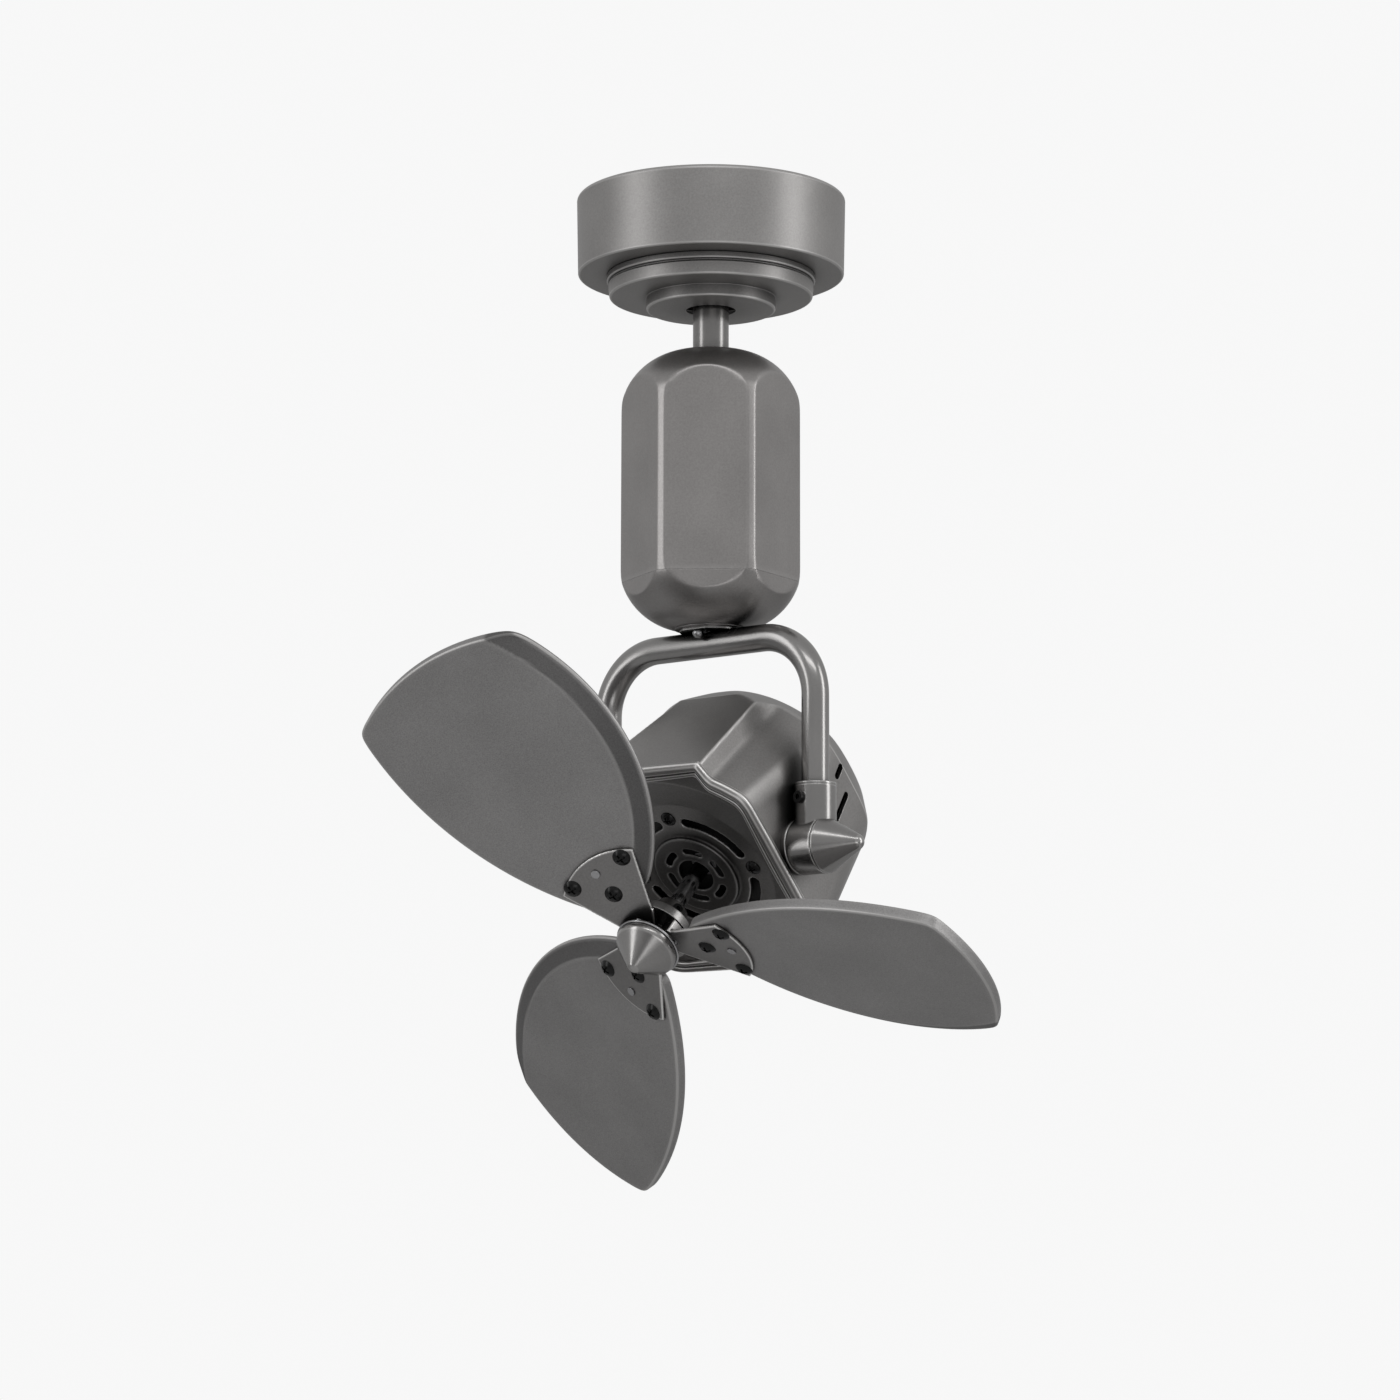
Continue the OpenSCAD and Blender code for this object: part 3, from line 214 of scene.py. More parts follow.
def coat(name, dark, light, rough, scale=900.0, spread=0.12, grain=0.12, round_edge=0.0006, scuff_and_highlight=0.3,
         metallic=1.0, crevice=0.012, scuffed_and_lit_grey=0.62):
    """A speckled metallic coat: noise picks between a dark and a light tone, a bevelled normal
    rounds the edges, the tone grows pale on edges, partly as worn coat and partly as a painted
    highlight, and sinks to near black as painted shade in crevices narrower than the length crevice,
    in metres. Where the point attribute of painted shade is 1, it is painted less than half as light."""
    made, tree, shader = material(name)
    group = tree.nodes.new("ShaderNodeGroup")
    group.node_tree = speckle
    group.inputs["Scale"].default_value = scale
    group.inputs["Dark"].default_value = (*dark, 1)
    group.inputs["Light"].default_value = (*light, 1)
    group.inputs["Roughness"].default_value = rough
    group.inputs["Spread"].default_value = spread
    rounding = tree.nodes.new("ShaderNodeBevel")
    rounding.samples = 6
    rounding.inputs["Radius"].default_value = round_edge
    flat = tree.nodes.new("ShaderNodeNewGeometry")
    facing = tree.nodes.new("ShaderNodeVectorMath")
    facing.operation = "DOT_PRODUCT"
    # Pale edge line, partly worn coat and partly a painted highlight: paler where the bevelled normal turns from
    # the flat one and where the marked mesh edges bend.
    edge = tree.nodes.new("ShaderNodeMapRange")
    edge.inputs["From Min"].default_value = 0.995
    edge.inputs["From Max"].default_value = 0.85
    edge.inputs["To Max"].default_value = scuff_and_highlight
    pale_edge_mix = tree.nodes.new("ShaderNodeMix")
    pale_edge_mix.data_type = "RGBA"
    pale_edge_mix.inputs["B"].default_value = (scuffed_and_lit_grey, 0.985 * scuffed_and_lit_grey, 0.97 * scuffed_and_lit_grey, 1)
    bump = tree.nodes.new("ShaderNodeBump")
    bump.inputs["Strength"].default_value = grain
    bump.inputs["Distance"].default_value = 0.0002
    bare = tree.nodes.new("ShaderNodeAttribute")
    bare.attribute_name = "scuffed_and_lit_edge"
    pale_edge_share = tree.nodes.new("ShaderNodeMath")
    pale_edge_share.operation = "MULTIPLY_ADD"
    pale_edge_share.inputs[1].default_value = scuff_and_highlight * pale_edge_gain
    pale_edge_share.use_clamp = True
    # Painted shade: ambient occlusion over the length crevice darkens the tone to near black in crevices and gaps.
    open_air = tree.nodes.new("ShaderNodeAmbientOcclusion")
    open_air.samples = 8
    open_air.inputs["Distance"].default_value = crevice
    crevice_shade = tree.nodes.new("ShaderNodeMapRange")
    crevice_shade.inputs["From Min"].default_value = 0.15
    crevice_shade.inputs["From Max"].default_value = 0.85
    crevice_shade.inputs["To Min"].default_value = crevice_shade_tone
    # Painted shade: where this point attribute is 1, the tone is painted darker by the loss.
    painted_shade = tree.nodes.new("ShaderNodeAttribute")
    painted_shade.attribute_name = "painted_shade"
    dimmed = tree.nodes.new("ShaderNodeMath")
    dimmed.operation = "MULTIPLY_ADD"
    dimmed.inputs[1].default_value = -painted_shade_loss
    dimmed.inputs[2].default_value = 1.0
    shade_product = tree.nodes.new("ShaderNodeMath")
    shade_product.operation = "MULTIPLY"
    shaded = tree.nodes.new("ShaderNodeVectorMath")
    shaded.operation = "SCALE"
    for out, into in (
            (rounding.outputs["Normal"], facing.inputs[0]), (flat.outputs["Normal"], facing.inputs[1]),
            (facing.outputs["Value"], edge.inputs["Value"]), (bare.outputs["Fac"], pale_edge_share.inputs[0]),
            (edge.outputs["Result"], pale_edge_share.inputs[2]), (pale_edge_share.outputs["Value"], pale_edge_mix.inputs["Factor"]),
            (group.outputs["Colour"], pale_edge_mix.inputs["A"]), (open_air.outputs["AO"], crevice_shade.inputs["Value"]),
            (pale_edge_mix.outputs["Result"], shaded.inputs[0]), (painted_shade.outputs["Fac"], dimmed.inputs[0]),
            (dimmed.outputs["Value"], shade_product.inputs[0]), (crevice_shade.outputs["Result"], shade_product.inputs[1]),
            (shade_product.outputs["Value"], shaded.inputs["Scale"]),
            (shaded.outputs["Vector"], shader.inputs["Base Color"]),
            (group.outputs["Roughness"], shader.inputs["Roughness"]),
            (group.outputs["Grain"], bump.inputs["Height"]),
            (rounding.outputs["Normal"], bump.inputs["Normal"]),
            (bump.outputs["Normal"], shader.inputs["Normal"])):
        tree.links.new(out, into)
    shader.inputs["Metallic"].default_value = metallic
    return made


# The canopy and the stepped cover take this coat, whose painted shade reaches far into their gaps.
finish_of = {"gunmetal": coat("gunmetal_coat", (0.31, 0.302, 0.297), (0.375, 0.366, 0.36), 0.45,
                              grain=0.06, scuff_and_highlight=0.5, crevice=0.03)}


def clean_up(mesh, closed=True):
    """Merges the points that meet. In a closed form the faces with no area go too, and the others
    are turned outwards."""
    work = bmesh.new()
    work.from_mesh(mesh)
    bmesh.ops.remove_doubles(work, verts=work.verts, dist=1e-6)
    if closed:
        bmesh.ops.dissolve_degenerate(work, edges=work.edges, dist=1e-6)
        bmesh.ops.recalc_face_normals(work, faces=work.faces)
    work.to_mesh(mesh)
    work.free()


def surface(name, points, body, slot, *replaced, wrap_rows=False):
    """A mesh over a grid of points in millimetres, row by row: each cell is a quad, every row closes
    on itself, and the last row joins the first where wrap_rows says so. Points that meet are merged
    and the faces are turned outwards. The piece rides on body and stands for the replaced nodes."""
    rows, columns, _ = points.shape
    index = np.arange(rows * columns).reshape(rows, columns)
    below = np.roll(index, -1, 0) if wrap_rows else index[1:]
    start = index if wrap_rows else index[:-1]
    quads = np.stack([start, np.roll(start, -1, 1), np.roll(below, -1, 1), below], -1).reshape(-1, 4)
    mesh = bpy.data.meshes.new(name)
    mesh.vertices.add(rows * columns)
    mesh.vertices.foreach_set("co", (points * 0.001).ravel())
    mesh.loops.add(quads.size)
    mesh.loops.foreach_set("vertex_index", quads.ravel())
    mesh.polygons.add(len(quads))
    mesh.polygons.foreach_set("loop_start", np.arange(0, quads.size, 4))
    mesh.update(calc_edges=True)
    clean_up(mesh)
    return finished(name, mesh, body, slot, *replaced)


def write_share(mesh, name, value):
    """Writes one value for each point of the mesh, which the coats read as a share from 0 to 1."""
    mesh.attributes.new(name, "FLOAT", "POINT").data.foreach_set("value", value.astype(np.float32))


def mark_edges(mesh, full=0.7):
    """Writes the attribute of the pale edge line, worn coat and painted highlight: across each mesh
    edge the bend per millimetre is the change of the face normals along the line between the face
    centres over its length squared, and a point takes the mean of its edges, as a share of full."""
    faces, loops, count = len(mesh.polygons), len(mesh.loops), len(mesh.vertices)
    normals, centres = np.empty(faces * 3), np.empty(faces * 3)
    totals, loop_edges = np.empty(faces, int), np.empty(loops, int)
    mesh.polygons.foreach_get("normal", normals)
    mesh.polygons.foreach_get("center", centres)
    mesh.polygons.foreach_get("loop_total", totals)
    mesh.loops.foreach_get("edge_index", loop_edges)
    ends = np.empty(len(mesh.edges) * 2, int)
    mesh.edges.foreach_get("vertices", ends)
    normals, centres, ends = normals.reshape(-1, 3), centres.reshape(-1, 3) * 1000, ends.reshape(-1, 2)
    order = np.argsort(loop_edges, kind="stable")
    sorted_edges, owners = loop_edges[order], np.repeat(np.arange(faces), totals)[order]
    pair = np.flatnonzero(sorted_edges[1:] == sorted_edges[:-1])
    one, other, shared = owners[pair], owners[pair + 1], ends[sorted_edges[pair]]
    step = centres[other] - centres[one]
    bent = ((normals[other] - normals[one]) * step).sum(1) / np.maximum((step ** 2).sum(1), 1e-4)
    summed, seen = np.zeros(count), np.zeros(count)
    for end in (0, 1):
        np.add.at(summed, shared[:, end], bent)
        np.add.at(seen, shared[:, end], 1)
    write_share(mesh, "scuffed_and_lit_edge", np.clip(2 * summed / np.maximum(seen, 1) / full, 0, 1))


def finished(name, mesh, body, slot, *replaced):
    """Smooth shading with sharp edges over 50 degrees, the slot's finish, and the place in the frame."""
    mark_edges(mesh)
    mesh.polygons.foreach_set("use_smooth", np.ones(len(mesh.polygons), bool))
    mesh.set_sharp_from_angle(angle=math.radians(50))
    mesh.materials.clear()
    mesh.materials.append(finish_of[slot])
    piece = bpy.data.objects.new(name, mesh)
    bpy.context.scene.collection.objects.link(piece)
    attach(piece, body)
    if replaced:
        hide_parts(*replaced)
    return piece


# Canopy: a deep round pan of spun steel against the ceiling, with a small rolled rim at the bottom
# and a soft shoulder at the top. The stepped cover below it hides its floor and its two screws.
canopy_radius, canopy_height, canopy_wall = 80.0, 47.5, 1.5
cover_seat = 36.0
lathe_steps = 192


def filleted(corners, steps=6, hold=0.35, closed=True):
    """An outline whose corner i, given as (x, y, r), is an arc of radius r tangent to both sides: its
    centre lies on the bisector, r / sin(half angle) from the corner. A point hold beyond each end
    of the arc keeps the sides flat under smooth shading. The ends of an open outline stay sharp."""
    given = np.array(corners, float)
    at, radius = given[:, :2], given[:, 2:]
    before, after = np.roll(at, 1, 0) - at, np.roll(at, -1, 0) - at
    before_length = np.linalg.norm(before, axis=1, keepdims=True)
    after_length = np.linalg.norm(after, axis=1, keepdims=True)
    before, after = before / before_length, after / after_length
    half = np.arccos(np.clip((before * after).sum(1, keepdims=True), -1, 1)) / 2
    reach = np.minimum(radius / np.tan(half), 0.49 * np.minimum(before_length, after_length))
    radius = reach * np.tan(half)
    bisector = before + after
    bisector /= np.maximum(np.linalg.norm(bisector, axis=1, keepdims=True), 1e-9)
    centre = at + bisector * radius / np.sin(half)
    first, last = at + before * reach - centre, at + after * reach - centre
    turn = np.pi - 2 * half
    share = np.linspace(0, 1, steps)
    arc = (np.sin((1 - share) * turn)[..., None] * first[:, None]
           + np.sin(share * turn)[..., None] * last[:, None])
    arc = centre[:, None] + arc / np.maximum(np.sin(turn), 1e-9)[..., None]
    lead = np.minimum(hold, 0.3 * (before_length - reach))
    tail = np.minimum(hold, 0.3 * (after_length - reach))
    drawn = np.concatenate([(at + before * (reach + lead))[:, None], arc,
                            (at + after * (reach + tail))[:, None]], 1)
    if not closed:
        drawn[0] = at[0]
        drawn[-1] = at[-1]
    return drawn.reshape(-1, 2)


def turned(outline, steps=lathe_steps):
    """Every outline point (r, z) goes once round the Z axis: (r cos a, r sin a, z)."""
    angle = np.linspace(0, 2 * np.pi, steps, endpoint=False)
    r, z = outline[:, :1], outline[:, 1:]
    return np.stack([r * np.cos(angle), r * np.sin(angle), z + 0 * angle], -1)


canopy_outline = filleted([
    (cover_seat, -canopy_height, 0.3), (canopy_radius - 0.9, -canopy_height, 1.2),
    (canopy_radius, -0.3, 4.0), (canopy_radius - 5, -0.3, 0.3), (canopy_radius - 5, -2, 0.5),
    (canopy_radius - canopy_wall - 0.2, -7, 1.5),
    (canopy_radius - canopy_wall - 0.9, canopy_wall - canopy_height, 1.0),
    (cover_seat, canopy_wall - canopy_height, 0.3)])
surface("canopy_pan", turned(canopy_outline), "ceiling_side", "gunmetal", "canopy", wrap_rows=True)

# Stepped cover: a spun cap of two steps under the canopy, with a rolled rim and a groove on the
# upper step and an open hole round the downrod.
step_radius, collar_radius, rod_hole = 62.0, 38.4, 14.6
step_z, collar_z, cover_wall = -61.0, -68.5, 1.5
cover_outline = filleted([
    (step_radius - 1.5, -canopy_height, 0.2), (step_radius, -canopy_height, 0.7), (step_radius, -51.4, 0.8),
    (step_radius - 1.9, -51.8, 0.3), (step_radius - 1.9, -52.6, 0.3), (step_radius - 0.8, -53.2, 0.8),
    (step_radius - 1.6, step_z, 1.3), (collar_radius, step_z, 0.4), (collar_radius, collar_z, 1.2),
    (rod_hole, collar_z, 0.5), (rod_hole, collar_z + cover_wall, 0.4),
    (collar_radius - cover_wall, collar_z + cover_wall, 0.6),
    (collar_radius - cover_wall, step_z + cover_wall, 0.4), (step_radius - 3.4, step_z + cover_wall, 0.8),
    (step_radius - 3.4, -50.5, 0.4), (step_radius - 1.5, -49.4, 0.3)])
surface("stepped_cap", turned(cover_outline), "ceiling_side", "gunmetal", "stepped_cover", wrap_rows=True)

# Geared housing: a die-cast drum with domed ends in two parts, closed round the orbit gears. Six flat
# facets are cut into the drum, and the narrow ridges between them and the domes stay round.
housing_top, housing_height, housing_flat = -94.5, 166.5, 47.0
housing_turn = math.radians(34)
ridge_radius, ridge_ease, facet_ease = 52.9, 1.2, 0.5
dome_reach, dome_round, dome_core = 54.0, 40.0, 20.0
drum_wall, rod_seat, shaft_hole = 2.5, 10.7, 21.0
seam, seam_gap = -233.0, 0.03
finish_of["gunmetal"] = coat("housing_coat", (0.315, 0.303, 0.298), (0.375, 0.363, 0.357), 0.37,
                             grain=0.05, scuff_and_highlight=0.12)


def soft_min(a, b, width):
    """The smaller of a and b, eased by a parabola where they differ by less than width."""
    near = np.maximum(width - np.abs(a - b), 0) / width
    return np.minimum(a, b) - near * near * width / 4


def drum_radius(angle, z):
    """Distance from the axis to the drum: round ridges and domes, the quarter round of the dome eased
    into the ridge radius, cut by the facets at the flat distance over the cosine to the nearest. The
    dome's core stays uncut."""
    nearest = (angle - housing_turn) % np.radians(60) - np.radians(30)
    depth = np.maximum(np.abs(z - (housing_top - housing_height / 2)) - (housing_height / 2 - dome_round), 0)
    dome = dome_reach - dome_round + np.sqrt(np.maximum(dome_round ** 2 - depth ** 2, 0))
    dome = np.where(dome > dome_core, soft_min(dome, 0 * dome + ridge_radius, ridge_ease), dome)
    return np.where(dome > dome_core, soft_min(housing_flat / np.cos(nearest), dome, facet_ease), dome)


in_facet = np.concatenate([np.linspace(-30, -25.2, 11), np.linspace(-24.4, 24.4, 17),
                           np.linspace(25.2, 30, 11)[:-1]])
columns = (np.radians(60 * np.arange(6)[:, None] + 30 + in_facet) + housing_turn).ravel()
dome_switch = 0.62
steep = np.linspace(0, np.pi / 2 - dome_switch, 26)[:-1]
dome_depths = np.concatenate([dome_round * np.cos(steep),
                              np.linspace(dome_round * np.sin(dome_switch), 7.5, 34), [5, 2.5, 0]])
upper_z = housing_top - dome_round + dome_depths
lower_z = housing_top - housing_height + dome_round - dome_depths


def drum_part(name, hole, flat_z, dome_z, wall_z, inner_z, *replaced):
    """One closed half: rings at the heights dome_z and wall_z on the outer face, then rings on the
    inner face, one wall behind it, back to the hole in the flat end."""
    heights = np.concatenate([dome_z, wall_z])[:, None] + 0 * columns
    outer = drum_radius(0 * heights + columns, heights)
    outer[0] = dome_reach - dome_round
    inner_heights = inner_z[:, None] + 0 * columns
    half_way = housing_top - housing_height / 2
    stretched = (inner_heights - half_way) * housing_height / (housing_height - 2 * drum_wall)
    inner = drum_radius(0 * inner_heights + columns, stretched + half_way) - drum_wall
    inner_end = flat_z + np.sign(wall_z[-1] - flat_z) * drum_wall
    r = np.concatenate([np.full((1, columns.size), hole), outer, inner, np.full((1, columns.size), hole)])
    z = np.concatenate([np.full((1, columns.size), flat_z), heights, inner_heights,
                        np.full((1, columns.size), inner_end)])
    points = np.stack([r * np.cos(columns), r * np.sin(columns), z], -1)
    return surface(name, points, "ceiling_side", "gunmetal", *replaced, wrap_rows=True)


wall_rows = np.linspace(upper_z[-1], seam, 30)[1:]
inner_top, inner_bottom = housing_top - 2.6, housing_top - housing_height + 2.6
inner_dome = upper_z[-1] + (inner_top - upper_z[-1]) * np.sin(np.linspace(0, np.pi / 2, 10))[1:]
drum_part("housing_shell", rod_seat, housing_top, upper_z, wall_rows,
          np.concatenate([np.linspace(seam, upper_z[-1], 8), inner_dome]), "gear_housing")
low_rows = lower_z[lower_z < seam - 0.3]
drum_part("housing_cap", shaft_hole, housing_top - housing_height, low_rows, np.array([seam - seam_gap]),
          np.linspace(seam - seam_gap, inner_bottom, 12), "housing_lid")

# Gear plate: a zinc plated sheet across the drum, cut to its six facets with round corners. It carries
# the bearing of the hollow shaft in its middle and the geared motor on one side.
plate_z, plate_sheet, plate_hole, plate_inset, plate_bevel = -213.0, 3.0, 11.05, 2.6, 0.3
plate_angle = np.linspace(0, 2 * np.pi, 240, endpoint=False)
plate_edge = drum_radius(plate_angle, np.full_like(plate_angle, plate_z)) - plate_inset
plate_half = [(0 * plate_edge + plate_hole, 0.0), (0 * plate_edge + 20, 0.0),
              (plate_edge - plate_bevel, 0.0), (plate_edge, plate_bevel)]
plate_rows = plate_half + [(r, plate_sheet - z) for r, z in reversed(plate_half)]
plate_grid = np.stack([np.stack([r * np.cos(plate_angle), r * np.sin(plate_angle), plate_z + z + 0 * r], -1)
                       for r, z in plate_rows])
finish_of["zinc_steel"] = coat("zinc_plate", (0.42, 0.42, 0.43), (0.5, 0.5, 0.51), 0.26, scuff_and_highlight=0.1,
                               round_edge=0.0003)
surface("turned_gear_plate", plate_grid, "ceiling_side", "zinc_steel", "gear_plate", wrap_rows=True)

# Yoke: one steel tube bent to an arch that hangs under the housing and carries the head between its
# legs. Its coat is glossier than the housing's, and the hubs and the spinner have the same.
tube_radius, bend_radius, leg_offset = 8.0, 37.0, 76.2
bar_rise, leg_foot = 124.43, 18.5
pivot_z = pivot.z * 1000
satin = coat("satin_gunmetal", (0.26, 0.254, 0.25), (0.32, 0.313, 0.308), 0.24, scale=1300.0,
             grain=0.04, scuff_and_highlight=0.5)
finish_of["gunmetal"] = satin


def swept(path, radius, steps=48):
    """A round bar along a path in the XZ plane: each path point carries a ring of the given radius,
    spanned by the path's normal in the plane and by Y, and the two ends are closed by flat discs."""
    along = np.gradient(path, axis=0)
    along /= np.linalg.norm(along, axis=1, keepdims=True)
    across = np.stack([-along[:, 2], 0 * along[:, 0], along[:, 0]], -1)
    angle = np.linspace(0, 2 * np.pi, steps, endpoint=False)
    ring = np.cos(angle)[:, None] * across[:, None] + np.sin(angle)[:, None] * np.array([0, 1.0, 0])
    bar = path[:, None] + radius * ring
    return np.concatenate([np.repeat(path[:1, None], steps, 1), bar, np.repeat(path[-1:, None], steps, 1)])


bend = np.linspace(0, np.pi / 2, 40)
right_half = np.concatenate([
    np.stack([np.linspace(0, leg_offset - bend_radius, 14)[:-1], np.full(13, bar_rise)], -1),
    np.stack([leg_offset - bend_radius + bend_radius * np.sin(bend),
              bar_rise - bend_radius + bend_radius * np.cos(bend)], -1),
    np.stack([np.full(14, leg_offset), np.linspace(bar_rise - bend_radius, leg_foot, 15)[1:]], -1)])
left_half = right_half[:0:-1] * np.array([-1, 1])
plane_path = np.concatenate([left_half, right_half])
path = np.stack([plane_path[:, 0], 0 * plane_path[:, 0], plane_path[:, 1] + pivot_z], -1)
surface("yoke_arch_tube", swept(path, tube_radius), "yoke", "gunmetal", "yoke_tube")


# Pivot hubs: two castings that join the yoke's legs to the tilt axis, each a short barrel with a collar
# for the leg and a set screw, under a turned cone cap. The castings have soft corners all over.
def softened(name, node, grain, passes, body, slot):
    """A cast or pressed piece from its own solid: the merged copy is cut into voxels of the size
    grain, in millimetres, and its corners are relaxed by moving each point towards its neighbours."""
    mesh = nodes[node].data.copy()
    clean_up(mesh, closed=False)
    carrier = bpy.data.objects.new(name + "_blank", mesh)
    bpy.context.scene.collection.objects.link(carrier)
    voxels = carrier.modifiers.new("voxels", "REMESH")
    voxels.mode = "VOXEL"
    voxels.voxel_size = grain * 0.001
    relax = carrier.modifiers.new("relax", "SMOOTH")
    relax.factor = 0.5
    relax.iterations = passes
    shaped = carrier.evaluated_get(bpy.context.evaluated_depsgraph_get())
    cast = bpy.data.meshes.new_from_object(shaped)
    cast.name = name
    bpy.data.objects.remove(carrier)
    return finished(name, cast, body, slot, node)


sleeve_radius, sleeve_low, sleeve_top, sleeve_bore = 12.15, 9.0, 36.2, 8.05
collar_outline = filleted([
    (0, sleeve_low, 0), (sleeve_radius, sleeve_low, 0.2), (sleeve_radius, sleeve_top - 2.0, 0.3),
    (sleeve_radius - 0.45, sleeve_top - 1.6, 0.2), (sleeve_radius, sleeve_top - 1.2, 0.2),
    (sleeve_radius, sleeve_top, 0.7), (sleeve_bore, sleeve_top, 0.3), (sleeve_bore, 30, 0)], closed=False)
for hand, sign in (("left", -1), ("right", 1)):
    softened(hand + "_pivot_casting", hand + "_pivot_hub", 0.42, 5, "yoke", "gunmetal")
    collar = turned(collar_outline, 96) + np.array([sign * leg_offset, 0, pivot_z])
    surface(hand + "_leg_collar", collar, "yoke", "gunmetal")


def coned(base, rim, length, ball, shoulder):
    """Outline of a turned cone: flat underside, a straight rim, a shoulder arc, and a side that runs
    tangent into a ball whose top lies at the length. The tangent leaves the rim's end at the angle to
    the ball's centre less asin(ball / distance)."""
    centre = length - ball
    lean = math.atan2(centre - rim, -base) - math.asin(ball / math.hypot(base, centre - rim))
    touch = lean - math.pi / 2
    start = (ball * math.cos(touch), centre + ball * math.sin(touch))
    side = filleted([(0, 0, 0), (base, 0, 0.6), (base, rim, shoulder), (*start, 0)], steps=10, closed=False)
    turn = np.linspace(touch, math.pi / 2, 12)
    return np.concatenate([side, np.stack([ball * np.cos(turn), centre + ball * np.sin(turn)], -1)])


barrel_out, barrel_radius = 83.5, 16.5
cone_outline = coned(barrel_radius - 0.1, 1.2, 26.0, 4.9, 2.0)
for hand, sign in (("left", -1), ("right", 1)):
    cap = turned(cone_outline)
    cap = np.stack([sign * (cap[..., 2] + barrel_out), cap[..., 0], cap[..., 1] + pivot_z], -1)
    surface(hand + "_cone", cap, "yoke", "gunmetal", hand + "_cone_cap")


# Motor head casing: a drawn shell of a round front and rear with two flat cheeks, a raised flat band
# along its top, a bevel at the rear and a flanged lip at the front. All ridges are softly rounded, and
# their coat paints them strongly pale: worn coat and a painted highlight.
finish_of["gunmetal"] = coat("casing_coat", (0.28, 0.272, 0.267), (0.345, 0.336, 0.33), 0.4,
                             grain=0.06, scuff_and_highlight=0.65, crevice=0.016, scuffed_and_lit_grey=0.85)
tilt_rest = math.radians(45)
front_reach, rear_reach, bevel_length = 22.5, 78.0, 13.0
head_length = front_reach + rear_reach
front_radius, rear_radius, bevel_depth, axis_drop = 81.5, 69.5, 7.0, -1.5
cheek_offset, rear_taper, cheek_bevel = 62.5, 4.5, 5.2
band_top, band_rear, band_end, band_half, band_slope = 77.7, 66.6, 60.8, 43.0, 0.24
band_turn_right, band_turn_left = math.radians(3), math.radians(15.5)
belly, wall, rear_opening, rim_inset = 67.0, 2.5, 60.5, 6.2
far_off, least = 400.0, 0.05
bevel_h = bevel_length - rear_reach
head_turn = np.array(Matrix.Rotation(math.pi / 2 + tilt_rest, 3, "X"))


def in_head(points):
    """From the head's own frame, X across, Y up its back and Z along the shaft, to the row frame."""
    return points @ head_turn.T + np.array([0, 0, pivot_z])


def from_head(mesh):
    """The points of a mesh in the head's own frame, in millimetres."""
    flat = np.empty(len(mesh.vertices) * 3)
    mesh.vertices.foreach_get("co", flat)
    return (flat.reshape(-1, 3) * 1000 - np.array([0, 0, pivot_z])) @ head_turn


def ring_distance(angle, radius, drop):
    """Distance from the axis to a circle of the radius whose centre lies drop along Y, where the
    angle is measured from Y towards X: drop cos a + sqrt(radius^2 - (drop sin a)^2)."""
    return drop * np.cos(angle) + np.sqrt(radius ** 2 - (drop * np.sin(angle)) ** 2)


def head_distance(angle, h, crisp=1.0, soft=5.0):
    """Distance from the shaft to the casing at the angle and the height h: the larger of the cone and
    the top band, softly limited by the top, the belly, the cheeks and the rear bevel."""
    up, out = np.cos(angle), np.sin(angle)
    cone = front_radius + (front_radius - rear_radius) * (h - front_reach) / head_length
    body = ring_distance(angle, cone, axis_drop)
    turn = np.where(out > 0, band_turn_right, band_turn_left)
    half = band_half + band_slope * band_top - np.tan(turn) * (front_reach - h)
    band = np.where(up > least, half / np.maximum(np.abs(out) + band_slope * up, least), 0)
    body = -soft_min(-body, -band, 0.5 * soft)
    rear = np.clip((h + rear_reach) / bevel_length, 0, 1)
    ahead = np.clip((h - bevel_h) / (front_reach - bevel_h), 0, 1)
    top = band_end + (band_rear - band_end) * rear + (band_top - band_rear) * ahead
    cheek_full = cheek_offset + rear_taper * (front_reach - np.maximum(h, bevel_h)) / head_length
    cheek_rear = cheek_offset + rear_taper - cheek_bevel
    cheek = np.where(h < bevel_h, cheek_rear + (cheek_full - cheek_rear) * rear, cheek_full)
    bevel_front = front_radius + (front_radius - rear_radius) * (bevel_h - 1 - front_reach) / head_length
    bevel_rear = rear_radius - bevel_depth
    bevel = bevel_rear + (h + rear_reach) * (bevel_front - bevel_rear) / (bevel_length - 1)
    body = soft_min(body, ring_distance(angle, bevel, axis_drop), crisp)
    body = soft_min(body, np.where(up > least, top / np.maximum(up, least), far_off), crisp)
    body = soft_min(body, np.where(up < -least, belly / np.maximum(-up, least), far_off), soft)
    return soft_min(body, cheek / np.maximum(np.abs(out), least), soft)


def rim_distance(angle):
    """Distance from the shaft to the opening of the front rim, the casing's outline drawn inwards."""
    return head_distance(angle, np.full_like(angle, front_reach - 1.0), 4.0) - rim_inset


around = np.linspace(0, 2 * np.pi, 720, endpoint=False)
lip_profile = filleted([(17.2, 0.0, 0.3), (17.5, 2.7, 0.7), (20.4, 3.2, 1.6), (front_reach, 1.2, 1.5),
                        (front_reach, -2.0, 0.4), (21.2, -2.4, 0.4), (21.2, -3.4, 0.4), (22.2, -3.8, 0.5),
                        (22.2, -5.2, 0.0)], steps=7, closed=False)
back_rows = np.concatenate([np.linspace(-rear_reach, bevel_h - 3, 12)[1:],
                            np.linspace(bevel_h - 2.4, bevel_h + 3, 10), np.linspace(bevel_h + 5, 16.9, 26)])
rear_hole = ring_distance(around, rear_opening, axis_drop)
rows = np.concatenate([[(-rear_reach, -0.9), (-rear_reach + 0.25, -0.3)],
                       np.stack([back_rows, 0 * back_rows], -1), lip_profile])
height = rows[:, :1] + 0 * around
distance = head_distance(0 * height + around, height) + rows[:, 1:]
opening = rim_distance(around)
